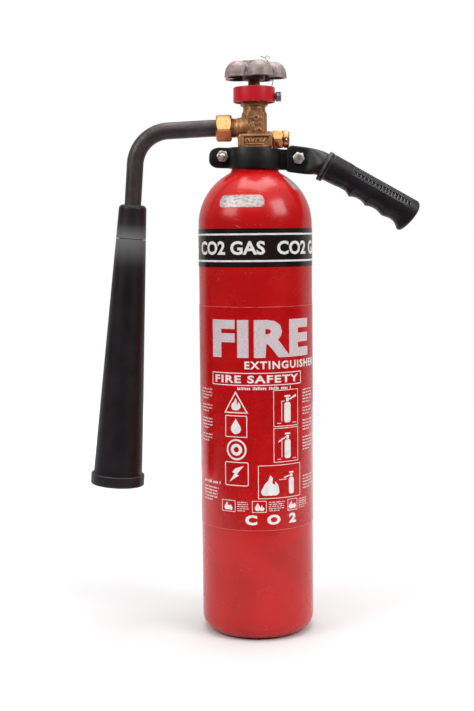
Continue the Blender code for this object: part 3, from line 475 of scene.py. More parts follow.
def shoulder_patch(f, azimuth, elevation, half_across, half_up, corner, ragged):
    """1 where a stretch of the shoulder is rubbed bare; angles in degrees."""
    x, y, z = (f.axis(name) for name in "XYZ")
    turn = f.sum("ARCTAN2", x, f.times(y, -1.0))
    rise = f.sum("ARCSINE", f.sum("DIVIDE", f.less(z, DOME_Z), CYL_R))
    ring = CYL_R * math.cos(math.radians(elevation))
    across = f.times(f.less(turn, math.radians(azimuth)), ring)
    up = f.times(f.less(rise, math.radians(elevation)), CYL_R)
    edge = pad_distance(f, across, up, half_across, half_up, corner)
    rough = f.times(f.less(f.noise(2.6, 5.0, 0.65), 0.5), ragged)
    return f.rise(f.plus(edge, rough), 0.35, -0.35)


def red_paint():
    """Glossy cylinder paint with nicks, scrapes and two patches rubbed to bare metal."""
    f = Finish("red_paint", IOR=1.37, Coat_Weight=0.12, Coat_Roughness=0.08)
    colour = f.mottle(srgb(176, 14, 16), srgb(190, 20, 20), 46)
    colour = f.mottle(colour, srgb(160, 12, 16), 9, 0.62, 0.8, detail=4)
    bare = f.sum("MAXIMUM",
                 shoulder_patch(f, -15.2, 23.1, 21.5, 6.0, 4.4, 3.4),
                 shoulder_patch(f, 63.5, 45.0, 5.6, 8.6, 3.0, 4.4))
    metal = f.mottle(srgb(182, 172, 170), srgb(140, 130, 130), 2.0, 0.42, 0.66, detail=5,
                     stretch=(2, 1, 1))
    nicks = f.times(f.speckle(1.5, 0.0), f.rise(f.axis("Z"), 300.0, 400.0))
    colour = f.blend(nicks, colour, srgb(120, 60, 55))
    scrapes = f.scratches(22, 0.7, (12, -28, 8))
    colour = f.blend(f.times(scrapes, 0.5), colour, srgb(226, 150, 140))
    colour = f.blend(bare, colour, metal)
    rough = f.gloss(30, 0.2, 0.3)
    rough = f.plus(rough, f.times(bare, 0.22))
    f.set(Base_Color=colour, Roughness=rough, Metallic=f.times(bare, 0.5))
    f.bump(f.noise(3.0, 2.0), 0.03)
    f.bump(f.times(bare, -1.0), 0.06)
    f.bump(f.times(scrapes, -1.0), 0.03)
    return f.material


def film(name, colour, other, dust):
    """Printed plastic film: glossy, with faint ripples and rubbed spots."""
    f = Finish(name, IOR=1.37, Coat_Weight=0.12, Coat_Roughness=0.1)
    tone = f.mottle(colour, other, 38)
    marks = f.sum("MAXIMUM", f.scratches(18, 0.5, (0, 70, 20), 0.04),
                  f.times(f.speckle(1.1, 0.01), 0.7))
    tone = f.blend(f.times(marks, 0.4), tone, dust)
    f.set(Base_Color=tone, Roughness=f.gloss(24, 0.2, 0.34))
    f.bump(f.noise(16, 2.0, stretch=(1, 1, 2.4)), 0.05)
    f.bump(f.noise(1.6, 1.0), 0.008)
    return f.material


def brass(name, light, dark, size, rough, dirt_and_hollow_shade, metallic, grain):
    """Brass with grime and painted shade in its hollows, and rubbed, brighter edges."""
    f = Finish(name, Metallic=metallic)
    colour = f.mottle(dark, light, size, 0.32, 0.68, detail=4, rough=0.55)
    stains = f.rise(f.noise(size * 0.5, 4.0, 0.6), 0.52, 0.7)
    colour = f.blend(f.times(stains, dirt_and_hollow_shade * 0.5), colour, srgb(96, 62, 42))
    colour = f.blend(f.times(f.edges(0.52, 0.60), 0.7), colour, light)
    # Hollows are darkened by an occlusion mask: grime together with painted shade.
    colour = f.blend(f.times(f.hollows(3.0, 0.45, 0.9), dirt_and_hollow_shade), colour, srgb(58, 36, 26))
    f.set(Base_Color=colour, Roughness=f.rise(stains, 0, 1, rough, rough + 0.14))
    f.bump(f.noise(0.9, 3.0, 0.6), grain)
    f.bump(f.noise(size * 0.6, 2.0), 0.05)
    return f.material


def off_knuckles(f):
    """1 on the handwheel's ramps and crown, 0 on its round knuckles."""
    x, y = f.axis("X"), f.axis("Y")
    sector = math.tau / WHEEL_LOBES
    turn = f.less(f.sum("ARCTAN2", y, x), math.radians(WHEEL_TURN) - 2 * math.tau)
    turn = f.less(f.sum("MODULO", f.plus(turn, sector / 2), sector), sector / 2)
    reach = f.length(x, y)
    out = f.less(f.times(reach, f.sum("COSINE", turn)), KNUCKLE_AT)
    across = f.times(reach, f.sum("SINE", turn))
    away = f.length(out, across)
    base, top = WHEEL_RIM + KNUCKLE_FOOT, WHEEL_HIGH.z - KNUCKLE_DROP
    up = f.sum("DIVIDE", f.sum("MAXIMUM", f.less(f.axis("Z"), base), 0.0), top - base)
    level = f.plus(f.sum("POWER", up, KNUCKLE_POWER),
                   f.sum("POWER", f.sum("DIVIDE", away, KNUCKLE_R), KNUCKLE_POWER))
    return f.rise(level, 1.03, 1.16)


def grey_casting():
    """Lacquered casting with brown blotches, painted shade on its ramps and in its valleys, and
    rubbed knuckles.
    """
    f = Finish("grey_casting", Metallic=0.2, Coat_Weight=0.08, Coat_Roughness=0.35)
    colour = f.mottle(srgb(132, 114, 110), srgb(152, 134, 130), 13, 0.35, 0.65, detail=4)
    blotches = f.rise(f.noise(6.5, 5.0, 0.62, twist=0.6), 0.50, 0.66)
    colour = f.blend(f.times(blotches, 0.55), colour, srgb(108, 88, 82))
    wear_and_edge_highlight = f.times(f.edges(0.53, 0.6), f.rise(f.noise(5, 4.0), 0.4, 0.6))
    colour = f.blend(f.times(wear_and_edge_highlight, 0.6), colour, srgb(190, 178, 174))
    # Painted shade: the ramps and crown between the knuckles, and the hollows, are darkened.
    shade = f.sum("MAXIMUM", f.times(off_knuckles(f), 0.72),
                  f.times(f.hollows(16, 0.5, 0.92), 0.85))
    colour = f.blend(shade, colour, srgb(66, 54, 54))
    colour = f.blend(f.speckle(0.8, 0.02), colour, srgb(70, 54, 50))
    f.set(Base_Color=colour, Roughness=f.rise(blotches, 0, 1, 0.46, 0.62))
    f.bump(f.noise(1.1, 3.0, 0.6), 0.05)
    f.bump(f.noise(7, 2.0), 0.12)
    return f.material


def steel(name, light, dark, rough):
    """Plated steel with drawn streaks, dull spots and painted shade in its concave creases."""
    f = Finish(name, Metallic=1.0)
    colour = f.mottle(light, dark, 3.0, 0.4, 0.7, detail=4)
    # Concave creases such as thread roots are darkened: painted shade.
    colour = f.blend(f.times(f.edges(0.485, 0.44), 0.7), colour, srgb(70, 60, 54))
    colour = f.blend(f.times(f.speckle(0.9, 0.03), 0.5), colour, srgb(120, 92, 72))
    f.set(Base_Color=colour, Roughness=f.rise(f.noise(1.2, 3.0), 0.3, 0.7, rough, rough + 0.2))
    f.bump(f.noise(0.5, 2.0, stretch=(1, 1, 5)), 0.02)
    return f.material


def coated_metal(name, colour, lighter, rust, metallic, rough, wear):
    """Thin dark coating with polished edges, scuffs and dust."""
    f = Finish(name, Metallic=metallic, IOR=1.42, Coat_Weight=0.06, Coat_Roughness=0.25)
    tone = f.mottle(colour, lighter, 17, 0.4, 0.72, detail=4)
    scuffs = f.sum("MAXIMUM", f.scratches(9, 0.5, (20, 40, 0), 0.08),
                   f.times(f.speckle(1.6, 0.02), 0.6))
    tone = f.blend(f.times(scuffs, wear), tone, rust)
    wear_and_edge_highlight = f.times(f.edges(0.53, 0.62), f.rise(f.noise(4, 4.0), 0.38, 0.6))
    tone = f.blend(f.times(wear_and_edge_highlight, wear), tone, rust)
    f.set(Base_Color=tone, Roughness=f.gloss(11, rough, rough + 0.14))
    f.bump(f.noise(1.3, 3.0), 0.025)
    f.bump(f.noise(12, 2.0), 0.08)
    return f.material


def moulding(name, colour, lighter, rough, sheen=0.0):
    """Injection-moulded plastic: fine grain, soft gloss changes, a few rubs and painted highlights
    on convex edges.
    """
    f = Finish(name, IOR=1.35, Sheen_Weight=sheen, Sheen_Roughness=0.4,
               Sheen_Tint=srgb(178, 160, 190))
    tone = f.mottle(colour, lighter, 26, 0.4, 0.75, detail=3)
    rubs = f.scratches(7, 0.4, (0, 25, 60), 0.05)
    tone = f.blend(f.times(rubs, 0.35), tone, srgb(120, 112, 116))
    # Convex edges and ridges are painted lighter: a painted highlight.
    wear_and_edge_highlight = f.times(f.edges(0.51, 0.56), 0.9)
    tone = f.blend(wear_and_edge_highlight, tone, tuple(0.55 * c + 0.16 for c in lighter[:3]) + (1.0,))
    dust = f.times(f.speckle(0.6, 0.0), 0.4)
    tone = f.blend(dust, tone, srgb(150, 140, 140))
    f.set(Base_Color=tone, Roughness=f.gloss(19, rough, rough + 0.12))
    f.bump(f.noise(0.7, 2.0), 0.03)
    f.bump(f.noise(15, 2.0), 0.05)
    return f.material


def plain_stock(name, colour, other, metallic, rough, size, depth):
    """Washers, seals and other small stock: mottled, with a matching grain."""
    f = Finish(name, Metallic=metallic)
    tone = f.mottle(colour, other, size, 0.38, 0.66, detail=4, rough=0.6)
    f.set(Base_Color=tone, Roughness=f.rise(f.noise(size * 0.7, 3.0), 0.3, 0.7, rough, rough + 0.15))
    f.bump(f.noise(size * 0.3, 3.0), depth)
    return f.material


def ink(name, colour, other, metallic=0.0, rough=0.32, grain=7.0):
    """Printing ink, uneven at the size of its grain; also a painted highlight for the film's edges.
    """
    f = Finish(name, Metallic=metallic)
    tone = f.mottle(colour, other, grain, 0.4, 0.7, detail=4)
    f.set(Base_Color=tone, Roughness=f.rise(f.noise(5, 3.0), 0.3, 0.7, rough, rough + 0.12))
    f.bump(f.noise(0.8, 2.0), 0.006)
    return f.material


FINISHES = {
    "red_paint": red_paint(),
    "black_label": film("black_label", srgb(20, 13, 15), srgb(28, 18, 20), srgb(120, 100, 98)),
    "red_label": film("red_label", srgb(174, 8, 12), srgb(186, 14, 16), srgb(226, 140, 130)),
    "cast_brass": brass("cast_brass", srgb(190, 140, 96), srgb(150, 106, 70), 9.0, 0.46, 0.9,
                        0.75, 0.05),
    "bright_brass": brass("bright_brass", srgb(214, 160, 104), srgb(184, 130, 84), 12.0, 0.33, 0.75,
                          0.95, 0.02),
    "grey_casting": grey_casting(),
    "bright_steel": steel("bright_steel", srgb(222, 214, 208), srgb(186, 176, 170), 0.36),
    "dark_tube": coated_metal("dark_tube", srgb(62, 54, 56), srgb(82, 70, 68),
                              srgb(150, 134, 130), 0.55, 0.46, 0.4),
    "black_paint": coated_metal("black_paint", srgb(15, 12, 14), srgb(23, 19, 21),
                                srgb(96, 84, 82), 0.0, 0.36, 0.3),
    "black_plastic": moulding("black_plastic", srgb(17, 10, 15), srgb(26, 19, 24), 0.40,
                              sheen=0.015),
    "red_plastic": moulding("red_plastic", srgb(196, 14, 34), srgb(206, 26, 42), 0.28),
    "white_nylon": moulding("white_nylon", srgb(222, 219, 210), srgb(206, 202, 190), 0.38),
    "fibre": plain_stock("fibre", srgb(168, 86, 62), srgb(132, 62, 44), 0.0, 0.65, 1.6, 0.05),
    "copper": plain_stock("copper", srgb(206, 132, 100), srgb(170, 96, 70), 1.0, 0.28, 3.0, 0.02),
    "aluminium_tube": plain_stock("aluminium_tube", srgb(196, 196, 198), srgb(168, 168, 172),
                                  1.0, 0.32, 5.0, 0.02),
    "lead": plain_stock("lead", srgb(142, 142, 146), srgb(104, 104, 110), 0.85, 0.46, 1.8, 0.06),
}
SEAL_WIRE = steel("seal_wire", srgb(142, 134, 130), srgb(92, 84, 82), 0.42)
INKS_AND_EDGE_HIGHLIGHT = {
    "white": ink("white_ink", srgb(236, 232, 230), srgb(222, 216, 214)),
    "silver": ink("silver_ink", srgb(224, 208, 212), srgb(198, 180, 186), 0.15, 0.4, 0.9),
    # A painted highlight along the film's top and bottom edges, made like an ink.
    "edge": ink("film_edge_highlight", srgb(224, 112, 110), srgb(206, 60, 60)),
}


# ---------------------------------------------------------------- cylinder

def cylinder():
    """Seamless steel shell: rounded base, straight side, hemisphere and neck."""
    blend = CYL_R + NECK_FILLET
    fillet_r = NECK_R + NECK_FILLET
    fillet_z = DOME_Z + math.sqrt(blend ** 2 - fillet_r ** 2)
    touch = math.degrees(math.acos(fillet_r / blend))
    inner_r, corner = CYL_R - CYL_WALL, BASE_FILLET - CYL_WALL
    inner_touch = math.degrees(math.acos(NECK_BORE_R / inner_r))
    outer = [(NECK_BORE_R + 0.6, NECK_TOP), (NECK_R - 0.9, NECK_TOP),
             (NECK_R - 0.25, NECK_TOP - 0.3), (NECK_R, NECK_TOP - 0.9)]
    outer += arc((fillet_r, fillet_z), NECK_FILLET, 180, 180 + touch, 10)
    outer += arc((0, DOME_Z), CYL_R, touch, 0, 40)[1:]
    outer += [(CYL_R, z) for z in (388.0, 340.0, 260.0, 180.0, 100.0, 40.0)]
    outer += arc((CYL_R - BASE_FILLET, BASE_FILLET), BASE_FILLET, 0, -90, 16)
    inner = [(0, BASE_THICK)]
    inner += arc((inner_r - corner, BASE_THICK + corner), corner, -90, 0, 6)
    inner += arc((0, DOME_Z), inner_r, 0, inner_touch, 16)
    inner.append((NECK_BORE_R, NECK_TOP - 0.6))
    put("cylinder_skin", made(turn_profile, inner + outer + [(0, 0)], 128, closed=False),
        "red_paint", "cylinder", "cylinder_shell", sharp=40)


FILM_STEP = 2.5


def band_of_film(bm, low, high, first, last, wave=0.0):
    """A thin curved strip on the cylinder between two heights and two arc lengths."""
    inner, outer = CYL_R + 0.02, LABEL_R
    full = last - first >= math.tau * CYL_R - 0.01
    columns = round((last - first) / FILM_STEP)
    rings = []
    for i in range(columns if full else columns + 1):
        turn = (first + (last - first) * i / columns) / CYL_R
        side, front = math.sin(turn), -math.cos(turn)
        lift = wave * noise.noise(Vector((i * 0.21, low * 0.01, 3.0)))
        rings.append([(side * inner, front * inner, low),
                      (side * outer, front * outer, low + 0.08),
                      (side * (outer + lift), front * (outer + lift), (low + high) / 2),
                      (side * outer, front * outer, high - 0.08),
                      (side * inner, front * inner, high)])
    if full:
        rings.append(rings[0])
    skin(bm, rings, ends=not full)


def on_cylinder(point, lift):
    """Wrap a flat point (arc length, height) round the cylinder at a lift over the film."""
    turn = point[0] / CYL_R
    r = LABEL_R + lift
    return Vector((math.sin(turn) * r, -math.cos(turn) * r, point[1]))


INK_THICK, INK_STEP = 0.05, 2.2


def wrap_flat(bm, lift):
    """Cut flat faces (x arc length, z height) into narrow columns and wrap them."""
    low = min(v.co.x for v in bm.verts)
    high = max(v.co.x for v in bm.verts)
    columns = int((high - low) / INK_STEP)
    for i in range(1, columns + 1):
        parts = bm.verts[:] + bm.edges[:] + bm.faces[:]
        cut = (low + (high - low) * i / (columns + 1), 0, 0)
        bmesh.ops.bisect_plane(bm, geom=parts, plane_co=cut, plane_no=(1, 0, 0), dist=1e-4)
    made = bmesh.ops.extrude_face_region(bm, geom=bm.faces[:])
    top = {v for v in made["geom"] if isinstance(v, bmesh.types.BMVert)}
    for v in bm.verts:
        v.co = on_cylinder((v.co.x, v.co.z), lift + (INK_THICK if v in top else 0.0))


def flat_polygon(bm, points):
    """One flat face from an outline."""
    bm.faces.new([bm.verts.new((x, 0, z)) for x, z in points])


def flat_frame(bm, outer, inner):
    """A closed band between two outlines with the same number of points."""
    rows = [[bm.verts.new((x, 0, z)) for x, z in row] for row in (outer, inner)]
    for i in range(len(outer)):
        j = (i + 1) % len(outer)
        bm.faces.new((rows[0][i], rows[0][j], rows[1][j], rows[1][i]))


def rectangle(x, z, corner=0.0):
    """Outline of a rectangle from two (low, high) pairs, with rounded corners."""
    points = [(x[0], z[0]), (x[1], z[0]), (x[1], z[1]), (x[0], z[1])]
    return soften(points, corner) if corner else points


def disc(centre, radius):
    """Outline of a circle."""
    steps = 40
    return [(centre[0] + radius * math.cos(math.tau * i / steps),
             centre[1] + radius * math.sin(math.tau * i / steps)) for i in range(steps)]


def lettering(bm, words, height, x, z, width, bold, spacing=1.0, centred=False):
    """Flat capitals of a height and width, from or centred on x, standing on z."""
    data = bpy.data.curves.new("words", "FONT")
    data.body, data.size, data.resolution_u = words, 1.0, 3
    data.offset, data.space_character = bold, spacing
    holder = bpy.data.objects.new("words", data)
    bpy.context.scene.collection.objects.link(holder)
    graph = bpy.context.evaluated_depsgraph_get()
    mesh = bpy.data.meshes.new_from_object(holder.evaluated_get(graph))
    bpy.data.objects.remove(holder, do_unlink=True)
    xs = [v.co.x for v in mesh.vertices]
    ys = [v.co.y for v in mesh.vertices]
    up = height / (max(ys) - min(ys))
    wide = width / (max(xs) - min(xs))
    start = x - min(xs) * wide - (width / 2 if centred else 0)
    first = len(bm.verts)
    bm.from_mesh(mesh)
    bm.verts.ensure_lookup_table()
    for v in bm.verts[first:]:
        v.co = (start + v.co.x * wide, 0, z + (v.co.y - min(ys)) * up)
    bpy.data.meshes.remove(mesh)


def small_print(bm, x, top, lines, pitch, high, seed, last=0.7):
    """Rows of letter-sized blocks, grouped like words, that stand for small print."""
    for row in range(lines):
        at, foot = x[0], top - row * pitch - high
        end = x[1] if row < lines - 1 else x[0] + (x[1] - x[0]) * last
        left = 0
        while at < end - high * 0.4:
            share = noise.cell(Vector((at * 1.7 + seed, row * 3.1, seed))) % 1.0
            if left == 0:
                left = 3 + int(share * 6)
                at += high * 0.75 if at > x[0] else 0
            wide = high * (0.22 + 0.36 * (1 - share))
            tall = high * (0.78 + 0.22 * round(share))
            flat_polygon(bm, rectangle((at, at + wide), (foot, foot + tall)))
            at += wide + high * 0.2
            left -= 1


BAND_REPEATS, BAND_LINES, BAND_LINE_HIGH = 4, (357.7, 382.2), 1.7
BAND_WORDS_X, BAND_WORDS_Z, BAND_WORDS_HIGH, BAND_WORDS_WIDE = -64.5, 364.2, 12.7, 73.4


def agent_band():
    """Black film all round, with two white lines and the name of the gas between them."""
    around = math.pi * CYL_R
    put("agent_band_film", made(band_of_film, BAND_LOW.z, BAND_HIGH.z, -around, around),
        "black_label", "cylinder", "agent_band_label")
    bm = bmesh.new()
    for z in BAND_LINES:
        flat_polygon(bm, rectangle((-around + 0.5, around - 0.5), (z, z + BAND_LINE_HIGH)))
    for i in range(BAND_REPEATS):
        lettering(bm, "CO2 GAS", BAND_WORDS_HIGH,
                  BAND_WORDS_X + math.tau * CYL_R / BAND_REPEATS * (i - 1), BAND_WORDS_Z,
                  BAND_WORDS_WIDE, 0.03)
    wrap_flat(bm, 0.0)
    put("agent_band_print", bm, INKS_AND_EDGE_HIGHLIGHT["white"], "cylinder")


# ---------------------------------------------------------------- notice film

NOTICE_TURN = 117
NOTICE_X = (-NOTICE_TURN / 180 * math.pi * CYL_R, NOTICE_TURN / 180 * math.pi * CYL_R)


def notice_film():
    """Red film round the front of the cylinder."""
    put("notice_film", made(band_of_film, NOTICE_LOW.z, NOTICE_HIGH.z, *NOTICE_X, wave=0.04),
        "red_label", "cylinder", "instruction_label")


def framed(bm, x, z, line=0.6, corner=0.8):
    """The printed outline of a box."""
    flat_frame(bm, rectangle(x, z, corner),
               rectangle((x[0] + line, x[1] - line), (z[0] + line, z[1] - line), corner * 0.6))


def shrunk(outline, share):
    """An outline drawn in towards its middle."""
    middle = sum((Vector(p) for p in outline), Vector((0, 0))) / len(outline)
    return [tuple(middle + (Vector(p) - middle) * share) for p in outline]


def flash(x, z, size):
    """A zigzag of two joined slanted strokes."""
    return [(x + 0.46 * size, z + 0.50 * size), (x + 0.02 * size, z - 0.02 * size),
            (x + 0.16 * size, z - 0.08 * size), (x - 0.46 * size, z - 0.50 * size),
            (x - 0.12 * size, z + 0.02 * size), (x - 0.28 * size, z + 0.10 * size),
            (x - 0.06 * size, z + 0.34 * size)]


def flame(x, z, size):
    """A plain flame outline standing on (x, z)."""
    shape = ((0.0, 0.0), (0.26, 0.05), (0.42, 0.26), (0.38, 0.50), (0.22, 0.70), (0.20, 0.46),
             (0.08, 0.62), (0.10, 0.86), (-0.02, 1.0), (-0.12, 0.74), (-0.32, 0.52),
             (-0.40, 0.28), (-0.26, 0.05))
    return [(x + a * size, z + b * size) for a, b in shape]


def drop(x, z, size):
    """A liquid drop standing on (x, z)."""
    return arc((x, z + 0.34 * size), 0.34 * size, -205, 25, 20) + [(x, z + size)]


def bottle(bm, x, z, size, nozzle):
    """A small drawing of a bottle with a valve, a hose and a pointing nozzle."""
    flat_polygon(bm, rectangle((x - 0.11 * size, x + 0.11 * size), (z, z + 0.60 * size),
                               0.08 * size))
    flat_polygon(bm, rectangle((x - 0.045 * size, x + 0.045 * size),
                               (z + 0.62 * size, z + 0.74 * size)))
    flat_polygon(bm, rectangle((x - 0.10 * size, x + 0.10 * size),
                               (z + 0.76 * size, z + 0.81 * size)))
    side = nozzle / abs(nozzle)
    flat_polygon(bm, [(x + side * 0.06 * size, z + 0.70 * size),
                      (x + side * 0.30 * size, z + (0.70 + nozzle) * size),
                      (x + side * 0.33 * size, z + (0.64 + nozzle) * size),
                      (x + side * 0.06 * size, z + 0.66 * size)])


def class_signs(bm):
    """Signs down the left for solids, liquids, gases and live equipment."""
    x = -19.8
    triangle = [(x - 12.0, 217.8), (x + 12.0, 217.8), (x, 238.4)]
    flat_frame(bm, triangle, shrunk(triangle, 0.84))
    flat_polygon(bm, flame(x, 220.4, 11.6))
    framed(bm, (x - 10.9, x + 10.9), (195.2, 215.7), 0.75)
    flat_polygon(bm, drop(x, 198.2, 14.6))
    flat_frame(bm, disc((x + 0.3, 183.6), 9.9), disc((x + 0.3, 183.6), 8.2))
    flat_frame(bm, disc((x + 0.3, 183.6), 5.6), disc((x + 0.3, 183.6), 2.6))
    framed(bm, (x - 11.6, x + 11.9), (149.4, 172.0), 0.75, 2.0)
    flat_polygon(bm, flash(x + 0.2, 160.7, 15.5))


def pictures(bm):
    """Two framed drawings one over the other, and a wide one under them."""
    for z, nozzle in (((204.8, 239.2), 0.12), ((171.3, 203.6), -0.12)):
        high = z[1] - z[0]
        framed(bm, (15.6, 42.6), z, 0.6, 0.3)
        bottle(bm, 30.0, z[0] + 0.10 * high, high * 0.92, nozzle)
        flat_polygon(bm, rectangle((23.6, 24.2), (z[0] + 0.14 * high, z[0] + 0.7 * high)))
        flat_polygon(bm, rectangle((24.2, 26.9), (z[0] + 0.68 * high, z[0] + 0.7 * high)))
        for x in ((19.4, 23.0), (35.8, 40.0)):
            flat_polygon(bm, rectangle(x, (z[0] + 0.08 * high, z[0] + 0.1 * high)))
    framed(bm, (0.8, 45.2), (137.4, 169.0), 0.6, 0.3)
    for x, size in ((8.4, 12.5), (12.6, 19.5), (16.4, 11.0)):
        flat_polygon(bm, flame(x, 140.2, size))
    bottle(bm, 34.0, 140.6, 26.0, -0.06)
    flat_polygon(bm, rectangle((20.8, 28.6), (154.6, 155.2)))


def small_boxes(bm):
    """Three little boxed marks with small print beside them, above the foot."""
    for i, x in enumerate(((-35.4, -21.0), (-5.0, 8.6), (29.6, 41.0))):
        framed(bm, x, (124.6, 135.6), 0.5, 0.5)
        middle = (x[0] + x[1]) / 2
        flat_polygon(bm, (flame, drop, flame)[i](middle - 1.6, 126.2, 7.6))
        flat_polygon(bm, (drop, flame, drop)[i](middle + 2.4, 126.2, 5.4))
    for x, seed in (((-19.0, -8.4), 5.0), ((10.8, 26.0), 8.0), ((43.2, 55.0), 12.0)):
        small_print(bm, x, 134.6, 5, 2.0, 1.0, seed)


def margins(bm):
    """Clusters of small print down both sides of the film."""
    left, right = (-66.0, -47.0), (49.5, 68.0)
    for x, top, lines, seed in (
            (left, 239.0, 4, 1.0), (left, 224.0, 3, 3.0), (left, 211.0, 4, 4.0),
            (left, 196.0, 3, 6.0), (right, 238.0, 5, 7.0), (right, 221.0, 3, 9.0),
            (right, 209.0, 4, 2.5), (right, 193.0, 5, 6.5), (right, 156.0, 5, 4.5)):
        small_print(bm, x, top, lines, 2.9, 1.35, seed)
    small_print(bm, (-62.0, -38.5), 152.0, 1, 4.0, 2.6, 11.0, 1.0)
    small_print(bm, (-62.0, -41.0), 146.0, 5, 3.0, 1.5, 13.0)


def notice_print_and_edge_highlight():
    """Everything printed on the notice film, in white and silver ink, and painted highlights along
    its top and bottom edges.
    """
    white, silver, edge = bmesh.new(), bmesh.new(), bmesh.new()
    lettering(silver, "FIRE", 35.0, -45.0, 269.5, 104.0, 0.05, spacing=1.08)
    lettering(white, "EXTINGUISHER", 7.4, -11.0, 258.9, 84.0, 0.03, spacing=1.2)
    framed(white, (-46.0, 47.0), (243.6, 255.6), 0.8)
    lettering(white, "FIRE SAFETY", 7.2, 0.5, 246.0, 85.0, 0.03, spacing=1.15, centred=True)
    small_print(white, (-18.0, 33.5), 242.4, 1, 3.0, 2.7, 2.0, 1.0)
    class_signs(white)
    pictures(white)
    small_boxes(white)
    margins(white)
    lettering(white, "CO2", 9.6, 14.0, 112.6, 51.0, 0.05, spacing=2.2, centred=True)
    # Pale strips along the film's top and bottom edges: a painted highlight.
    for z in (NOTICE_LOW.z + 0.1, NOTICE_HIGH.z - 0.55):
        flat_polygon(edge, rectangle((NOTICE_X[0] + 0.3, NOTICE_X[1] - 0.3), (z, z + 0.45)))
    for bm, colour in ((white, "white"), (silver, "silver"), (edge, "edge")):
        wrap_flat(bm, 0.01)
        put(f"notice_print_and_edge_highlight_{colour}", bm, INKS_AND_EDGE_HIGHLIGHT[colour], "cylinder")


# ---------------------------------------------------------------- valve

def rod(bm, radius, low, high, place=None, steps=48, chamfer=0.0):
    """A round bar along local z."""
    profile = [(0, low), (radius - chamfer, low), (radius, low + chamfer),
               (radius, high - chamfer), (radius - chamfer, high), (0, high)]
    turn_profile(bm, profile, steps, place, closed=False)


def thread(radius, low, high, pitch, depth):
    """Outline of a thread's crests and roots from high down to low."""
    points, z = [], high
    while z - pitch > low:
        points += [(radius, z - 0.15 * pitch), (radius, z - 0.35 * pitch),
                   (radius - depth, z - 0.65 * pitch), (radius - depth, z - 0.85 * pitch)]
        z -= pitch
    return points


def hexagon(bm, flats, low, high, bore=0.0, place=None, turn=0.0, round_off=0.97, slope=0.6):
    """A nut or head along local z; its ends are chamfered from round_off of its flats."""
    steps, half, face = 96, flats / 2, flats / 2 * round_off
    place = (place or Matrix()) @ turned(turn, "Z")
    rings = []
    bore_edge = bore + 0.35 if bore else 0.0
    for kind in ("bore_low", "face_low", "side_low", "side_high", "face_high", "bore_high"):
        ring = []
        for i in range(steps):
            angle = math.tau * i / steps
            off = (math.degrees(angle) + 30) % 60 - 30
            reach = min(half / math.cos(math.radians(off)), half * 1.135)
            drop = (reach - face) * slope
            r, z = {"bore_low": (bore_edge, low), "face_low": (face, low),
                    "side_low": (reach, low + drop), "side_high": (reach, high - drop),
                    "face_high": (face, high), "bore_high": (bore_edge, high)}[kind]
            ring.append((r * math.cos(angle), r * math.sin(angle), z))
        rings.append(ring)
    if bore:
        inner = [[(bore * math.cos(math.tau * i / steps), bore * math.sin(math.tau * i / steps), z)
                  for i in range(steps)] for z in (high - 0.35, low + 0.35)]
        rings = rings + inner + rings[:1]
        skin(bm, rings, ends=False, place=place)
    else:
        skin(bm, rings[1:-1], place=place)


OUTLET = moved(0, 0, OUTLET_Z) @ turned(-90, "Y")
PORT = moved(0, 0, PORT_Z) @ turned(90, "Y")
PANEL = turned(COLUMN_TURN, "Z")


def bar(bm, place, x, z, wide, high, lean=0.0, front=0.0, rise=0.8):
    """A raised bar on a face whose outward side is local -Y."""
    spot = place @ moved(x, front, z) @ turned(lean, "Y")
    rounded_box(bm, (-wide / 2, wide / 2), (-rise, 0.8), (-high / 2, high / 2), 0.2, 2, spot)


def panel_marks(bm):
    """Three rows of cast relief on the column's flat front: ring, bars, chevrons."""
    face, rows = -COLUMN_FLAT, PANEL_ROWS
    ring = PANEL @ moved(0, face, rows[0]) @ turned(90, "X")
    turn_profile(bm, [(1.5, -0.6), (2.7, -0.6), (2.7, 0.8), (1.5, 0.8)], 40, ring)
    for x in (-4.6, 4.6):
        bar(bm, PANEL, x, rows[0], 0.9, 2.4, 0, face)
    for i, x in enumerate((-4.8, -2.4, 0.0, 2.4, 4.8)):
        bar(bm, PANEL, x, rows[1], 0.95, 3.4 if i % 2 else 2.4, 0, face)
    for x, lean in ((-3.9, 38), (-1.9, -38), (1.9, 38), (3.9, -38)):
        bar(bm, PANEL, x, rows[2], 0.9, 3.0, lean, face)


def plate_marks(bm, face):
    """A row of bars inside the plate's frame."""
    for i in range(8):
        x = -8.2 + i * 2.55
        bar(bm, Matrix(), x, PLATE_ROWS[0], 1.0, 4.2, (18, -18, 0, 28)[i % 4], face, 0.6)
    bar(bm, Matrix(), 0.8, PLATE_ROWS[1], 15.0, 0.9, 0, face, 0.5)


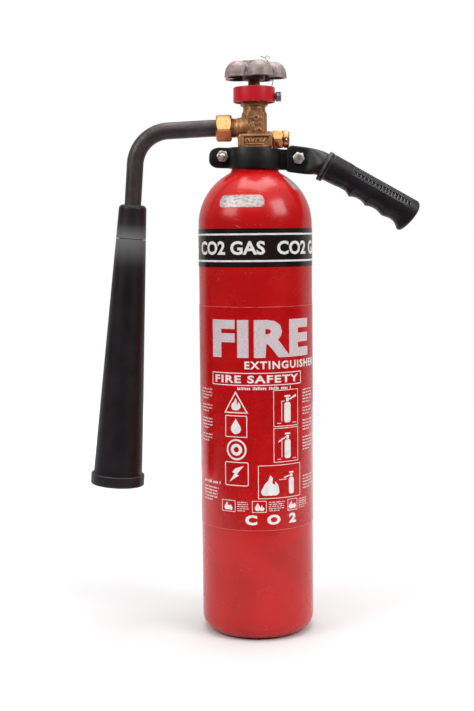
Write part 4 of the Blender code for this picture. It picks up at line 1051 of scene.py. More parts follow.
def valve_blank():
    """The forging's outside as overlapping solids, before they are fused."""
    column = solid(turn_profile, [
        (0, COLUMN_HIGH + 6), (BODY_NECK_R, COLUMN_HIGH + 6), (BODY_NECK_R, COLUMN_HIGH),
        (COLUMN_R, COLUMN_HIGH - 2.6), (COLUMN_R, BLOCK_LOW + 3), (0, BLOCK_LOW + 3)],
        96, closed=False)
    carve(column, solid(rounded_box, (-16, 16), (-26, -COLUMN_FLAT),
                        (BLOCK_HIGH - 1.0, COLUMN_HIGH + 1), 0.4, 2, PANEL))
    bm = back_to_bmesh(column)
    rounded_box(bm, BLOCK_X, BLOCK_Y, (BLOCK_LOW, BLOCK_HIGH), 2.6)
    plate = solid(rounded_box, PLATE_X, (PLATE_FRONT, 0), (BLOCK_LOW, BLOCK_HIGH - 0.4), 1.5)
    carve(plate, solid(rounded_box, (PLATE_X[0] + 2.6, PLATE_X[1] - 3.4),
                       (PLATE_FRONT - 2, PLATE_FRONT + 1.3),
                       (BLOCK_LOW + 1.4, BLOCK_HIGH - 2.9), 0.5))
    bm.from_mesh(plate.data)
    bpy.data.objects.remove(plate, do_unlink=True)
    plate_marks(bm, PLATE_FRONT + 1.3)
    panel_marks(bm)
    rod(bm, 7.8, 4, BLOCK_X[1] - 0.2, PORT, 64, 0.8)
    neck = [(0, OUTLET_END), (OUTLET_R - 0.8, OUTLET_END), (OUTLET_R, OUTLET_END - 0.8)]
    neck += thread(OUTLET_R, 16.2, OUTLET_END - 0.8, 1.75, 0.75)
    neck += [(OUTLET_R + 0.1, 16.0), (OUTLET_R + 0.2, 13.4), (OUTLET_R + 1.6, 11.4), (10.9, 0),
             (0, 0)]
    turn_profile(bm, neck, 96, OUTLET, closed=False)
    return bm


def valve_body():
    """Cast and machined brass body: the fused outside, then the bored passages."""
    body = workpiece(valve_blank())
    melt(body, 0.32, 1)
    stem = [(0, BLOCK_LOW + 2), (11.0, BLOCK_LOW + 2), (11.0, BLOCK_LOW - 1), (12.5, BLOCK_LOW - 2)]
    stem += thread(12.5, BODY_LOW.z + 1, BLOCK_LOW - 3, 1.8, 0.8)
    stem += [(12.0, BODY_LOW.z), (0, BODY_LOW.z)]
    neck = [(0, BODY_HIGH.z), (BODY_NECK_R - 0.6, BODY_HIGH.z), (BODY_NECK_R, BODY_HIGH.z - 0.6),
            (BODY_NECK_R, COLUMN_HIGH + 2), (0, COLUMN_HIGH + 2)]
    passage = [(0, BODY_HIGH.z + 1), (GLAND_R, BODY_HIGH.z + 1), (GLAND_R, CHAMBER_HIGH),
               (CHAMBER_R, CHAMBER_HIGH), (CHAMBER_R, SEAT_HIGH), (SEAT_R, SEAT_HIGH),
               (SEAT_R, SEAT_LOW), (RISER_R, SEAT_LOW), (RISER_R, DIP_SOCKET_HIGH),
               (DIP_SOCKET_R, DIP_SOCKET_HIGH), (DIP_SOCKET_R, BODY_LOW.z - 1),
               (0, BODY_LOW.z - 1)]
    outlet = [(0, 4), (3.0, 4), (3.0, OUTLET_END + 1), (0, OUTLET_END + 1)]
    port = [(0, 1), (2.0, 1), (2.0, 9.0), (5.3, 9.0), (5.3, BLOCK_X[1] + 2), (0, BLOCK_X[1] + 2)]
    for profile, steps, place, operation in (
            (stem, 64, None, "UNION"), (neck, 96, None, "UNION"), (passage, 64, None, "DIFFERENCE"),
            (outlet, 48, OUTLET, "DIFFERENCE"), (port, 48, PORT, "DIFFERENCE")):
        carve(body, solid(turn_profile, profile, steps, place, closed=False), operation)
    put("valve_body_forging", back_to_bmesh(body), "cast_brass", "cylinder", "valve_body", sharp=50)


def gland_nut():
    """Hexagon over the valve's neck, mostly hidden by the collar."""
    nut = solid(hexagon, GLAND_FLATS, GLAND_LOW.z, GLAND_HIGH.z, 6.0, turn=12.0)
    carve(nut, solid(rod, BODY_NECK_R + 0.3, GLAND_LOW.z - 1, GLAND_THREAD_HIGH))
    put("gland_nut_hexagon", back_to_bmesh(nut), "cast_brass", "cylinder", "gland_nut")


def tamper_collar():
    """Moulded cup with a rounded lip, a thicker lower bead and two wire holes."""
    outer, skirt_in, web_low, boss = COLLAR_HIGH.x, COLLAR_HIGH.x - 1.7, COLLAR_HIGH.z - 2.0, 10.5
    low, high = COLLAR_LOW.z, COLLAR_HIGH.z
    outline = [(SPINDLE_R + 1, high), (outer, high), (outer, low), (skirt_in, low),
               (skirt_in, low + 1.6), (skirt_in - 0.5, low + 2.2), (skirt_in - 0.5, web_low),
               (boss, web_low), (boss, GLAND_HIGH.z + 0.3), (SPINDLE_R + 1, GLAND_HIGH.z + 0.3)]
    radii = [0.5, 1.3, 0.7, 0.6, 0.2, 0.2, 0.6, 0.6, 0.4, 0.4]
    collar = solid(turn_profile, soften(outline, radii, 5), 128)
    holes = bmesh.new()
    rod(holes, 0.95, web_low - 1, high + 1, moved(*WIRE_HOLE, 0), 20)
    rod(holes, 0.95, skirt_in - 4, outer + 2, moved(0, SEAL_MID.y, SEAL_MID.z)
        @ turned(90, "Y"), 20)
    carve(collar, workpiece(holes))
    put("tamper_collar_cup", back_to_bmesh(collar), "red_plastic", "cylinder", "tamper_collar")


def union_nut():
    """Hexagon that holds the discharge tube on the outlet."""
    near, far = -UNION_HIGH.x, -UNION_LOW.x
    nut = solid(hexagon, UNION_FLATS, near, far, UNION_BORE_R, OUTLET, turn=-11.0, round_off=0.94,
                slope=0.9)
    carve(nut, solid(rod, OUTLET_R + 0.3, near - 1, UNION_THREAD_END, OUTLET))
    put("union_nut_hexagon", back_to_bmesh(nut), "bright_brass", "cylinder", "union_nut")


def safety_plug():
    """Hexagon plug with a round cap, vented at the top."""
    cap, near, far = PLUG_CAP_R, BLOCK_X[1] + 0.3, PLUG_HIGH.x
    plug = solid(hexagon, PLUG_FLATS, near, PLUG_HEX_END, 0.0, PORT, round_off=0.95, slope=0.9)
    outline = [(0, far), (cap - 1.4, far), (cap, far - 1.2), (cap, 28.2), (cap - 0.7, 27.6),
               (cap - 0.7, 26.0), (5.0, 26.0), (5.0, 10.9), (0, 10.9)]
    carve(plug, solid(turn_profile, outline, 72, PORT, closed=False), "UNION")
    carve(plug, solid(rod, PLUG_BORE_R, 9.0, 30.0, PORT, 32))
    for angle in (0, 90, 180, 270):
        place = moved(30.4, 0, PORT_Z) @ turned(angle, "X")
        carve(plug, solid(rod, 1.15, 0, cap + 2, place, 24))
    put("safety_plug_cap", back_to_bmesh(plug), "bright_brass", "cylinder", "safety_plug")


def spindle():
    """Collar, threaded-looking stem, square and stud, with the tang below."""
    top, low = SPINDLE_HIGH.z, CHAMBER_HIGH + 0.3
    profile = [(0, top), (2.4, top), (2.9, top - 0.5)]
    profile += thread(2.9, HUB_SEAT, top - 0.6, 0.9, 0.35)
    profile += [(2.9, HUB_SEAT), (3.4, HUB_SEAT - 1), (3.4, HUB_LOW - 0.3), (5.1, HUB_LOW - 0.3),
                (SPINDLE_R, HUB_LOW - 0.8), (SPINDLE_R, low + 2), (8.2, low + 2), (8.2, low),
                (0, low)]
    stem = solid(turn_profile, profile, 64, closed=False)
    for x, y, z in (((-4, 4), (-4, 4), (HUB_LOW - 1, HUB_SEAT)),
                    ((-4.5, 4.5), (-1.5, 1.5), (SPINDLE_LOW.z, low + 1))):
        carve(stem, solid(rounded_box, x, y, z, 0.3), "UNION")
    put("spindle_stem", back_to_bmesh(stem), "cast_brass", "wheel", "spindle")


# ---------------------------------------------------------------- handwheel

def knuckle_profile(radius, top, low):
    """Outline of one round knuckle that stands on a straight skirt."""
    base = WHEEL_RIM + KNUCKLE_FOOT
    points = [(0, top)]
    for i in range(1, 17):
        angle = math.radians(90 * (1 - i / 16))
        points.append((radius * math.cos(angle) ** (2 / KNUCKLE_POWER),
                       base + (top - base) * math.sin(angle) ** (2 / KNUCKLE_POWER)))
    return points + [(radius + 0.3, low), (0, low)]


def wheel_solid(bm, shrink, low):
    """Five knuckles and a five-sided ramp between them, all reduced by shrink."""
    top = WHEEL_HIGH.z - shrink
    for i in range(WHEEL_LOBES):
        turn = math.radians(WHEEL_TURN + 360 / WHEEL_LOBES * i)
        at = Matrix.Translation((KNUCKLE_AT * math.cos(turn), KNUCKLE_AT * math.sin(turn), 0))
        turn_profile(bm, knuckle_profile(KNUCKLE_R - shrink, top - KNUCKLE_DROP, low), 48, at,
                     closed=False)
    corner = 1 / math.cos(math.pi / WHEEL_LOBES)
    rings = []
    for z, apothem in ((low, RAMP_LOW), (WHEEL_RIM + 2.0, RAMP_LOW),
                       (top - CROWN_DROP - 0.6, RAMP_HIGH), (top - CROWN_DROP, RAMP_HIGH - 1.2)):
        reach = (apothem - shrink) * corner
        rings.append([(reach * math.cos(math.radians(WHEEL_TURN + 72 * k)),
                       reach * math.sin(math.radians(WHEEL_TURN + 72 * k)), z)
                      for k in range(WHEEL_LOBES)])
    skin(bm, rings)


def handwheel():
    """Hollow casting with a hub, fused and softened like a sand casting."""
    wheel = solid(wheel_solid, 0.0, WHEEL_RIM)
    melt(wheel, 0.4, 2)
    hollow = solid(wheel_solid, WHEEL_SKIN, WHEEL_RIM - 4)
    melt(hollow, 0.5, 3)
    carve(wheel, hollow)
    hub = [(0, HUB_HIGH), (12.5, HUB_HIGH), (10.8, 540.0), (10.5, HUB_LOW + 0.9), (9.9, HUB_LOW),
           (0, HUB_LOW)]
    carve(wheel, solid(turn_profile, hub, 64, closed=False), "UNION")
    carve(wheel, solid(rod, 7.5, HUB_SEAT, WHEEL_HIGH.z + 2, None, 64))
    carve(wheel, solid(rounded_box, (-4.3, 4.3), (-4.3, 4.3), (HUB_LOW - 1.5, HUB_SEAT + 0.8), 0.3))
    put("handwheel_casting", back_to_bmesh(wheel), "grey_casting", "wheel", "handwheel", sharp=42)


def wheel_fastening():
    """Washer and nut in the handwheel's pocket."""
    low, high = HUB_SEAT + 0.3, HUB_SEAT + 1.2
    washer = soften(((3.2, low), (6.8, low), (6.8, high), (3.2, high)), 0.2, 3)
    put("handwheel_washer_ring", made(turn_profile, washer, 64), "bright_steel", "wheel",
        "handwheel_washer")
    put("handwheel_nut_hexagon", made(hexagon, WHEEL_NUT_FLATS, high + 0.3, high + 4.0, 3.2),
        "bright_steel", "wheel", "handwheel_nut")


STRANDS, STRAND_R, STRAND_LAY, LOOSE_END_R = 2, 0.22, 2.2, 0.24


def twisted(bm, points):
    """Fine wires twisted round each other along a curve."""
    path = spline(points, 10)
    lengths = [0.0]
    for a, b in zip(path, path[1:]):
        lengths.append(lengths[-1] + (b - a).length)
    lines = [[] for _ in range(STRANDS)]
    for done, (point, side, other) in zip(lengths, carried(path)):
        for k, line in enumerate(lines):
            angle = math.tau * (done / STRAND_LAY + k / STRANDS)
            line.append(point + (side * math.cos(angle) + other * math.sin(angle)) * STRAND_R)
    for line in lines:
        sweep(bm, line, STRAND_R)


UPPER_WIRE = ((8.4, -6.6, 548.3), (10.2, -8.1, 547.4), (12.0, -9.7, 545.4), (14.3, -11.6, 541.6),
              (16.9, -13.8, 537.2), (18.9, -15.5, 532.8), (19.1, -15.6, 528.9),
              (18.0, -12.8, 526.3))
LOWER_WIRE = ((17.9, -12.5, 525.9), (17.4, -8.2, 523.6), (*WIRE_HOLE, 521.6), (*WIRE_HOLE, 518.4),
              (16.6, -3.9, 515.4), (16.6, -3.7, 512.4), (18.0, -3.7, 511.8), (20.2, -3.7, 511.8))


DENT, DENT_SEED = 0.14, 5


def seal():
    """Twisted wire in two runs, with the pressed lead seal at its lower end."""
    bm = bmesh.new()
    twisted(bm, UPPER_WIRE)
    for end in (((8.6, -6.7, 548.2), (7.4, -6.6, 549.0), (6.6, -8.0, 548.6), (7.6, -9.2, 547.4)),
                ((10.0, -8.0, 547.4), (11.6, -8.2, 548.8), (13.6, -9.2, 548.6),
                 (15.0, -10.6, 547.0), (14.0, -12.0, 545.6))):
        sweep(bm, spline(end, 8), LOOSE_END_R)
    put("seal_wire_on_wheel", bm, SEAL_WIRE, "wheel", "seal_wire_upper")
    put("seal_wire_on_collar", made(twisted, LOWER_WIRE), SEAL_WIRE, "cylinder",
        "seal_wire_lower")
    near, far, mid = SEAL_LOW.x, SEAL_HIGH.x, SEAL_MID
    outline = [(0, near - 0.8), (2.6, near - 0.8), (3.9, near - 0.3), (4.6, near + 0.7),
               (4.6, near + 1.7), (4.3, near + 2.2), (4.3, near + 2.8), (4.6, near + 3.3),
               (4.6, near + 4.1), (4.4, far - 0.3), (3.4, far), (3.0, far - 0.35),
               (2.2, far - 0.35), (1.9, far), (0, far)]
    bm = bmesh.new()
    place = moved(0, mid.y, mid.z) @ turned(90, "Y")
    turn_profile(bm, outline, 56, place, closed=False)
    noise.seed_set(DENT_SEED)  # unseeded, noise_vector takes its offsets from the clock
    for v in bm.verts:
        v.co += noise.noise_vector(v.co * 0.6) * DENT
    put("lead_seal_pressed", bm, "lead", "cylinder", "lead_seal")


# ---------------------------------------------------------------- clamp

CLAMP = (moved(0, 0, CLAMP_Z)
         @ turned(CLAMP_TILT, "Y"))
EAR_FACE = EAR_Y + STRAP_THICK / 2


def strap_line(ear_left):
    """Centre line of one strap from above, with its local thickness direction."""
    reach, bend_y = RING_R + EAR_BEND_R, EAR_Y + EAR_BEND_R
    bend_x = math.sqrt(reach ** 2 - bend_y ** 2)
    lift = math.degrees(math.asin(bend_y / reach))
    tips = [EAR_ROUND * (1 - math.cos(math.radians(90 * i / 12))) for i in range(13)]
    points = [(ear_left + d, -EAR_Y) for d in tips]
    points += arc((-bend_x, -bend_y), EAR_BEND_R, 90, lift, 8)
    points += arc((0, 0), RING_R, 180 + lift, 360 - lift, 72)[1:]
    points += arc((bend_x, -bend_y), EAR_BEND_R, 180 - lift, 90, 8)[1:]
    points += [(EAR_RIGHT - d, -EAR_Y) for d in reversed(tips)]
    return [Vector(p) for p in points]


def clamp_strap(name, node, side, ear_left):
    """One pressed steel strap; side is 1 for the front half and -1 for the rear one."""
    line = strap_line(ear_left)
    rings = []
    for i, point in enumerate(line):
        ahead = heading(line, i)
        out = Vector((-ahead.y, ahead.x)) * STRAP_THICK / 2
        inside = max(0.0, min(point.x - ear_left, EAR_RIGHT - point.x, EAR_ROUND))
        share = math.sqrt(max(0.0, 1 - (1 - inside / EAR_ROUND) ** 2))
        half = STRAP_HIGH / 2 * (0.25 + 0.75 * share)
        section = soften(((-1, -half), (1, -half), (1, half), (-1, half)), 0.42, 3)
        rings.append([(point.x + out.x * a, side * (point.y + out.y * a), z) for a, z in section])
    strap = solid(skin, rings, place=CLAMP)
    for x in (BOLT_LEFT, BOLT_RIGHT):
        carve(strap, solid(rod, BOLT_R + 0.4, -25, 25, bolt_place(x), 32))
    put(name, back_to_bmesh(strap), "black_paint", "cylinder", node)


def bolt_place(x):
    """Local z runs towards the front of the extinguisher."""
    return CLAMP @ moved(x, 0, BOLT_Z) @ turned(90, "X")


def clamp_bolt(tag, x, head, far, turn):
    """Bolt and nut; head and far are the clamped faces, along the bolt's local z."""
    place = bolt_place(x)
    towards = 1 if head > far else -1
    seat, stop = head + towards * 0.3, head + towards * (0.3 + BOLT_HEAD)
    bolt = solid(hexagon, BOLT_FLATS, *sorted((seat, stop)), 0.0, place, turn)
    tip = far - towards * (NUT_THICK + 2.5)
    length = abs(seat + towards - tip)
    shank = [(0, 0), (1.6, 0), (2.5, 0.45), (BOLT_R, 1.1)]
    shank += reversed(thread(BOLT_R, 1.2, length - 0.6, 1.0, 0.42))
    shank += [(BOLT_R - 0.2, length), (0, length)]
    carve(bolt, solid(turn_profile, [(r, tip + towards * z) for r, z in shank], 40, place,
                      closed=False), "UNION")
    mark = [(2.3, -0.4), (2.9, -0.4), (2.9, 0.22), (2.3, 0.22)]
    carve(bolt, solid(turn_profile, [(r, stop + towards * z) for r, z in mark], 40, place), "UNION")
    put(f"clamp_bolt_{tag}_hexagon", back_to_bmesh(bolt), "bright_steel", "cylinder",
        f"clamp_bolt_{tag}")
    near = far - towards * 0.3
    nut = made(hexagon, BOLT_FLATS, *sorted((near, near - towards * NUT_THICK)), BOLT_R + 0.15,
               place, turn + 17)
    put(f"clamp_nut_{tag}_hexagon", nut, "bright_steel", "cylinder", f"clamp_nut_{tag}")


# ---------------------------------------------------------------- handle

def handle_stations():
    """Points and directions of the handle tube's centre line in the XZ plane."""
    slope, grip = math.radians(HANDLE_SLOPE), math.radians(GRIP_SLOPE)
    first = Vector((math.cos(slope), -math.sin(slope)))
    last = Vector((math.cos(grip), -math.sin(grip)))
    tangent = HANDLE_BEND_R * math.tan((grip - slope) / 2)
    straight = (HANDLE_CORNER - PADDLE_START).length - tangent
    stations = [(PADDLE_START + first * straight * i / 40, first) for i in range(41)]
    bend_from = HANDLE_CORNER - first * tangent
    centre = bend_from + Vector((first.y, -first.x)) * HANDLE_BEND_R
    for i in range(1, 13):
        angle = slope + (grip - slope) * i / 12
        ahead = Vector((math.cos(angle), -math.sin(angle)))
        stations.append((centre - Vector((ahead.y, -ahead.x)) * HANDLE_BEND_R, ahead))
    stations.append((GRIP_START + last * (GRIP_BORE - 2), last))
    return stations


def oval(half_y, half_v, power, count=72):
    """A superellipse as (y, v) points; power 2 is an ellipse, more is squarer."""
    points = []
    for i in range(count):
        angle = math.tau * (i + 0.5) / count
        c, s = math.cos(angle), math.sin(angle)
        points.append((half_y * math.copysign(abs(c) ** (2 / power), c),
                       half_v * math.copysign(abs(s) ** (2 / power), s)))
    return points


def smooth(share):
    """Ease a share of 0 to 1, clipped at both ends."""
    share = min(1.0, max(0.0, share))
    return share * share * (3 - 2 * share)


def handle_tube():
    """Steel tube pressed flat where it is bolted, round from there to the grip."""
    rings = []
    stations = handle_stations()
    for place, ahead in stations:
        run = (place - stations[0][0]).length
        share = smooth((run - PADDLE_LONG) / PADDLE_FADE)
        half_y = PADDLE_THICK / 2 + (HANDLE_R - PADDLE_THICK / 2) * share
        half_v = PADDLE_HIGH / 2 + (HANDLE_R - PADDLE_HIGH / 2) * share
        if run < 4.5:
            corner = 1 - math.sqrt(max(0.0, 1 - (1 - run / 4.5) ** 2))
            half_v -= (PADDLE_HIGH - PADDLE_END_HIGH) / 2 * corner
        if run < 0.8:
            half_y -= 0.5 * (1 - run / 0.8)
        up = Vector((-ahead.y, ahead.x)) if run else Vector((0, 1))
        rings.append([(place.x + up.x * v, HANDLE_Y + y, place.y + up.y * v)
                      for y, v in oval(half_y, half_v, 2 + 5 * (1 - share) ** 2)])
    tube = solid(skin, rings)
    carve(tube, solid(rod, BOLT_R + 0.4, -25, 25, bolt_place(BOLT_RIGHT), 32))
    put("handle_tube_pressed", back_to_bmesh(tube), "black_paint", "cylinder", "handle_tube")


FLANGE_ROUND = 1.6
GRIP = (moved(GRIP_START.x, HANDLE_Y, GRIP_START.y)
        @ turned(GRIP_SLOPE, "Y"))
# The ladder band's start, split and end along the grip; its pockets' low and high edge and pitch.
LADDER = (24.0, 53.7, 87.4)
SHORT_POCKETS, LONG_POCKETS = (5.5, 8.4, 3.93), (4.5, 9.3, 3.37)
LADDER_LEDGE, LADDER_RIDGE, TOP_GROOVES = 4.0, 9.9, (10.9, 12.4)


def grip_floor(u):
    """The grip's lower edge below its axis: waist, three finger grooves and a heel."""
    if u < GROOVE_PEAKS[0]:
        waist_end = GROOVE_PEAKS[0] - 8
        if u < waist_end:
            return -12.4 + (12.4 - GRIP_WAIST) * u / waist_end
        return -GRIP_WAIST - (GROOVE_OUT - GRIP_WAIST) * ((u - waist_end) / 8) ** 1.6
    outs = (GROOVE_OUT, GROOVE_OUT, GROOVE_OUT, HEEL_OUT)
    for i, (start, end) in enumerate(zip(GROOVE_PEAKS, GROOVE_PEAKS[1:])):
        if u <= end:
            share = (u - start) / (end - start)
            peak = outs[i] + (outs[i + 1] - outs[i]) * share
            depth = min(peak - GROOVE_IN - 0.6 * i, 3.0)
            steep = 1.4 if end == GROOVE_PEAKS[-1] else 0.85
            return -peak + depth * (4 * share * (1 - share)) ** steep
    return -HEEL_OUT


def grip_end(v):
    """How far along the axis the grip's rounded end reaches at height v."""
    return GRIP_LENGTH - (0.0285 if v > 4.7 else 0.0095) * (v - 4.7) ** 2


def inside(value, low, high, soft=0.25):
    """1 between low and high, falling smoothly to 0 over the soft width."""
    return smooth((value - low) / soft + 0.5) * smooth((high - value) / soft + 0.5)


def grip_relief(u, y, v):
    """How far the surface stands in (negative) or out of the plain oval, in mm."""
    start, split, end = LADDER
    out = 0.35 * (1 - smooth((u - start + 1.4) / 0.8)) if u > FLANGE_HALF else 0.0
    if abs(y) > 4:
        for (low, high, pitch), first, last in ((SHORT_POCKETS, start + 2.4, split),
                                                (LONG_POCKETS, split + 0.4, end - 1.0)):
            phase = ((u - first + 0.25 * (v - low)) / pitch) % 1.0
            pocket = inside(u, first, last) * inside(v, low, high) * inside(phase, 0.02, 0.64, 0.1)
            out -= 1.3 * pocket
        ledge = inside(u, start, split) * inside(v, LADDER_LEDGE - 0.3, LADDER_LEDGE + 0.3)
        ridge = inside(u, start, end) * inside(v, LADDER_RIDGE - 0.3, LADDER_RIDGE + 0.4)
        post = inside(u, start, start + 0.8) * inside(v, LADDER_LEDGE, TOP_GROOVES[1])
        out += 0.3 * max(ledge, ridge, post)
    groove = max(inside(v, at - 0.42, at + 0.42, 0.25) for at in TOP_GROOVES)
    out -= 1.0 * groove * inside(u, start + 1.0, end, 0.6)
    return out + 0.16 * inside(abs(y), -1, 0.22, 0.2) * inside(u, 4, GRIP_LENGTH - 3, 1.0)


def handle_grip():
    """Moulded grip: flange with a parting ledge, finger grooves, ladder band and ridges."""
    count, shaped_from = 208, 80.0
    round_off = [FLANGE_ROUND * math.sin(math.radians(15 * k)) for k in range(7)]
    edges = [FLANGE_HALF - FLANGE_ROUND + d for d in round_off]
    stations = [-e for e in reversed(edges)] + [-0.5, -0.45] + edges + [FLANGE_HALF + 0.05]
    u = FLANGE_HALF + 0.7
    while u < GRIP_LENGTH - 3:
        stations.append(u)
        u += 1.2 if u < 23 else 0.42 if u < 88 else 0.8
    stations += [GRIP_LENGTH - s for s in (2.8, 2.1, 1.5, 1.0, 0.6, 0.3, 0.1, 0.0)]
    rings = []
    for u in stations:
        top, bottom, half = GRIP_TOP, grip_floor(u), GRIP_HALF_WIDE
        if u <= FLANGE_HALF:
            top, bottom, half = FLANGE_TOP, FLANGE_BOTTOM, FLANGE_TOP
            past = min(1.0, max(0.0, abs(u) - FLANGE_HALF + FLANGE_ROUND) / FLANGE_ROUND)
            trim = FLANGE_ROUND * (1 - math.sqrt(1 - past ** 2)) + (0.3 if u > -0.47 else 0.0)
            top, bottom, half = top - trim, bottom + trim, half - trim
        tip = max(0.0, u - GRIP_LENGTH + 2.8) / 2.8
        shrink = 2.6 * (1 - math.sqrt(1 - tip ** 2))
        top, bottom, half = top - shrink, bottom + shrink, half - shrink
        middle, high = (top + bottom) / 2, (top - bottom) / 2
        ring = []
        for y, v in oval(half, high, 2.3, count):
            out = grip_relief(u, y, v + middle) if u > FLANGE_HALF and tip == 0 else 0.0
            away = Vector((y / half ** 2, v / high ** 2)).normalized() * out
            y, v, x = y + away.x, v + away.y + middle, u
            if u > shaped_from:
                share = (u - shaped_from) / (GRIP_LENGTH - shaped_from)
                x = shaped_from + share * (grip_end(v) - shaped_from)
            ring.append((x, y, v))
        rings.append(ring)
    grip = solid(skin, rings, place=GRIP)
    carve(grip, solid(rod, HANDLE_R + 0.6, -FLANGE_HALF - 1, GRIP_BORE, GRIP @ turned(90, "Y"), 96))
    put("handle_grip_moulding", back_to_bmesh(grip), "black_plastic", "cylinder", "handle_grip",
        sharp=38)


# ---------------------------------------------------------------- tube and horn

def discharge_path():
    """Straight out of the outlet, a slight droop, one bend, then down the horn's axis."""
    lean, droop = math.radians(HORN_LEAN), math.radians(TUBE_DROOP)
    down = Vector((-math.sin(lean), 0, -math.cos(lean)))
    out = Vector((-math.cos(droop), 0, -math.sin(droop)))
    inward = Vector((-out.z, 0, out.x))
    start = Vector((-TUBE_STRAIGHT, 0, OUTLET_Z))
    reach = (HORN_TOP - start).cross(down).y / out.cross(down).y
    half_turn = (math.pi / 2 - lean - droop) / 2
    bend_from = start + out * (reach - TUBE_BEND_R * math.tan(half_turn))
    centre = bend_from + inward * TUBE_BEND_R
    path = [Vector((-TUBE_START, 0, OUTLET_Z)), start + Vector((2.0, 0, 0)), start + out * 2.0,
            (start + bend_from) / 2]
    for i in range(41):
        turn = Matrix.Rotation(-2 * half_turn * i / 40, 3, "Y")
        path.append(centre - turn @ (inward * TUBE_BEND_R))
    return path + [HORN_TOP, HORN_TOP + down * TUBE_IN_HORN]


def discharge_tube():
    """Bent steel tube with its bore kept open."""
    path = discharge_path()
    rings = [[], []]
    for i, point in enumerate(path):
        side = Vector((0, 1, 0))
        other = heading(path, i).cross(side)
        for row, radius in zip(rings, (TUBE_R, TUBE_BORE_R)):
            row.append([point + (side * math.cos(a) + other * math.sin(a)) * radius
                        for a in (math.tau * k / 64 for k in range(64))])
    put("discharge_tube_bent", made(skin, rings[0] + rings[1][::-1] + rings[0][:1], ends=False),
        "dark_tube", "horn", "discharge_tube")


HORN = Matrix.Translation(HORN_TOP) @ turned(HORN_LEAN, "Y")


def horn_radius(down):
    """Outer radius of the cone at a distance below the horn's top."""
    share = (down - 4) / (HORN_LENGTH - HORN_RIM_HIGH - 4)
    return HORN_TOP_R + (HORN_MOUTH_R - HORN_TOP_R) * share


def horn():
    """Moulded horn: a short neck on the tube and a long cone with a rim."""
    bore, spigot_end, joint_r = TUBE_R + 0.25, HORN_JOINT + SPIGOT_LONG, horn_radius(HORN_JOINT)
    outline = [(bore, -0.5), (bore + 0.5, 0)]
    outline += arc((HORN_TOP_R - 4, -4), 4.0, 90, 0, 12)
    outline += [(horn_radius(18), -18), (joint_r, -HORN_JOINT + 0.4), (joint_r - 0.4, -HORN_JOINT),
                (SPIGOT_R, -HORN_JOINT), (SPIGOT_R, -spigot_end), (SPIGOT_BORE_R, -spigot_end),
                (SPIGOT_BORE_R, -NOZZLE_DOWN), (bore + 0.2, -NOZZLE_DOWN), (bore, -TUBE_IN_HORN)]
    put("horn_neck_moulding", made(turn_profile, outline, 96, HORN), "black_plastic", "horn",
        "horn_neck")
    rim_top, mouth_in = HORN_LENGTH - HORN_RIM_HIGH, HORN_MOUTH_R - HORN_WALL
    outline = [(11.3, -HORN_JOINT - 0.3), (joint_r - 0.4, -HORN_JOINT - 0.3),
               (joint_r, -HORN_JOINT - 0.7)]
    outline += [(horn_radius(d), -d) for d in (60, 110, 160, 210, rim_top - 2.0)]
    rim = [(HORN_MOUTH_R + 0.1, -rim_top + 0.6), (HORN_RIM_R, -rim_top), (HORN_RIM_R, -HORN_LENGTH),
           (mouth_in, -HORN_LENGTH)]
    outline += soften(rim, [0.5, 1.0, 1.6, 1.2], 5, closed=False)[:-1]
    outline += [(mouth_in + 0.3, -HORN_LENGTH + 0.3), (mouth_in, -HORN_LENGTH + 1.2),
                (horn_radius(150) - HORN_WALL, -150), (horn_radius(spigot_end + 8) - HORN_WALL,
                                                       -spigot_end - 8), (11.3, -spigot_end - 1)]
    put("horn_cone_moulding", made(turn_profile, outline, 128, HORN), "black_plastic", "horn",
        "horn_cone")


# ---------------------------------------------------------------- hidden pieces and stage

TABLE_R, TABLE_FRONT = 1060.0, 460.0
BACK_FADE = (0.05, 0.5, 0.06, 0.6)
SKY_GLOW = 0.75


def finish_frame_nodes():
    """Every CAD node takes the finish of its own slot, also those kept out of sight."""
    for row in frame["record"]["subparts"]:
        mesh = frame["nodes"][row["node"]].data
        mesh.materials.clear()
        mesh.materials.append(FINISHES[row["material_slot"]])


def table_white():
    """Matt white with a faint glow further back, so that it meets the white backdrop."""
    f = Finish("studio_floor", Specular_IOR_Level=0.2, Emission_Color=(1, 1, 1, 1))
    x, y = f.axis("X"), f.axis("Y")
    away = f.length(x, y)
    f.set(Base_Color=f.mottle((0.68, 0.68, 0.68, 1), (0.67, 0.67, 0.67, 1), 180), Roughness=0.7,
          Emission_Strength=f.rise(away, 150, 1100, 0.0, 0.5))
    return f.material


def floor():
    """A round white table top that reaches further behind the object than in front."""
    bm = made(turn_profile, [(0, 0), (TABLE_R, 0), (TABLE_R, -0.5), (0, -0.5)], 128,
              moved(0, TABLE_R - TABLE_FRONT, 0), closed=False)
    bm.transform(Matrix.Scale(MM, 4))
    mesh = bpy.data.meshes.new("floor")
    bm.to_mesh(mesh)
    bm.free()
    mesh.materials.append(table_white())
    obj = bpy.data.objects.new("floor", mesh)
    bpy.context.scene.collection.objects.link(obj)


def soft_light(name, at, aim, size, power):
    """A rectangular lamp; metres and watts."""
    data = bpy.data.lights.new(name, "AREA")
    data.shape, data.size, data.size_y = "RECTANGLE", size[0], size[1]
    data.energy = power
    obj = bpy.data.objects.new(name, data)
    obj.location = at
    obj.rotation_euler = (Vector(aim) - Vector(at)).to_track_quat("-Z", "Y").to_euler()
    bpy.context.scene.collection.objects.link(obj)


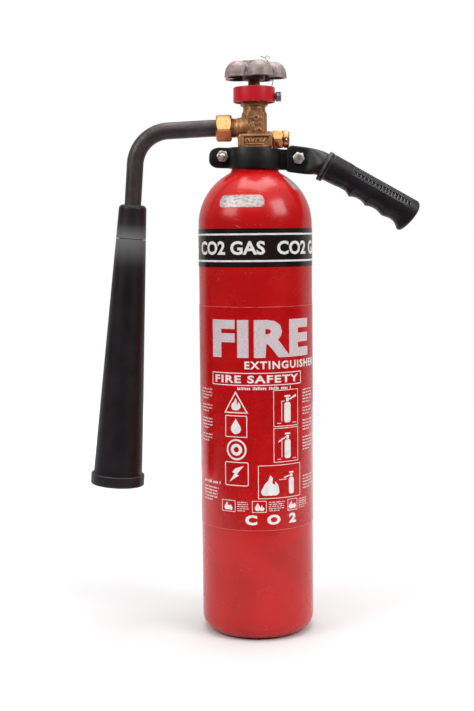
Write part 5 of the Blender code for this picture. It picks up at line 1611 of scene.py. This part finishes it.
def surroundings():
    """White behind and above, dim towards the front; the backdrop itself is plain white."""
    world = bpy.data.worlds.new("studio")
    bpy.context.scene.world = world
    world.use_nodes = True
    tree = world.node_tree
    add, link = tree.nodes.new, tree.links.new

    def step(socket, low, high, out_low, out_high):
        node = add("ShaderNodeMapRange")
        node.interpolation_type = "SMOOTHSTEP"
        for key, value in zip(("From Min", "From Max", "To Min", "To Max"),
                              (low, high, out_low, out_high)):
            node.inputs[key].default_value = value
        link(socket, node.inputs["Value"])
        return node.outputs[0]

    def blend(share, first, second):
        node = add("ShaderNodeMix")
        for index, value in ((0, share), (2, first), (3, second)):
            if isinstance(value, bpy.types.NodeSocket):
                link(value, node.inputs[index])
            else:
                node.inputs[index].default_value = value
        return node.outputs[0]

    split = add("ShaderNodeSeparateXYZ")
    link(add("ShaderNodeTexCoord").outputs["Generated"], split.inputs[0])
    sideways = step(split.outputs["Y"], *BACK_FADE)
    strength = blend(step(split.outputs["Z"], 0.35, 0.75, 0.0, 1.0), sideways, SKY_GLOW)
    seen = blend(add("ShaderNodeLightPath").outputs["Is Camera Ray"], strength, 1.0)
    back = tree.nodes["Background"]
    back.inputs["Color"].default_value = (1, 1, 1, 1)
    link(seen, back.inputs["Strength"])


def studio():
    """The backdrop and four soft lamps."""
    surroundings()
    soft_light("key", (-1.35, -0.95, 1.35), (0, 0, 0.3), (0.9, 0.9), 18)
    soft_light("fill", (1.35, -0.95, 1.35), (0, 0, 0.3), (0.9, 0.9), 20)
    soft_light("front", (-0.15, -1.3, 1.6), (0, 0, 0.4), (0.9, 0.5), 5)
    soft_light("top", (0.05, 0.1, 1.8), (0, 0, 0.3), (1.1, 1.1), 21)
    bpy.context.scene.view_settings.view_transform = "Standard"


CAMERA_AT, CAMERA_LENS, CAMERA_SENSOR = (0, -1.2, 0.3823), 63.29, 36.0


def camera():
    """Eye level just below the shoulder, aimed slightly down and to the left."""
    pitch, roll, yaw = math.radians(5.5), math.radians(0.55), math.atan(19.3 / 1250)
    ahead = Vector((-math.sin(yaw) * math.cos(pitch), math.cos(yaw) * math.cos(pitch),
                    -math.sin(pitch)))
    right = Vector((math.cos(yaw), math.sin(yaw), 0))
    up = right.cross(ahead)
    x_axis = right * math.cos(roll) - up * math.sin(roll)
    y_axis = right * math.sin(roll) + up * math.cos(roll)
    data = bpy.data.cameras.new("camera")
    data.lens, data.sensor_width, data.sensor_fit = CAMERA_LENS, CAMERA_SENSOR, "AUTO"
    obj = bpy.data.objects.new("camera", data)
    turn = Matrix((x_axis, y_axis, -ahead)).transposed().to_4x4()
    obj.matrix_world = Matrix.Translation(CAMERA_AT) @ turn
    bpy.context.scene.collection.objects.link(obj)
    bpy.context.scene.camera = obj


camera()
studio()
floor()
finish_frame_nodes()
cylinder()
agent_band()
notice_film()
notice_print_and_edge_highlight()
valve_body()
gland_nut()
tamper_collar()
union_nut()
safety_plug()
spindle()
handwheel()
wheel_fastening()
seal()
clamp_strap("clamp_strap_front", "clamp_front", 1, EAR_LEFT)
clamp_strap("clamp_strap_rear", "clamp_rear", -1, EAR_LEFT - REAR_EAR_EXTRA)
clamp_bolt("left", BOLT_LEFT, -EAR_FACE, EAR_FACE, 8.0)
clamp_bolt("right", BOLT_RIGHT, EAR_FACE + 0.3 + PADDLE_THICK, -EAR_FACE, 21.0)
handle_tube()
handle_grip()
discharge_tube()
horn()
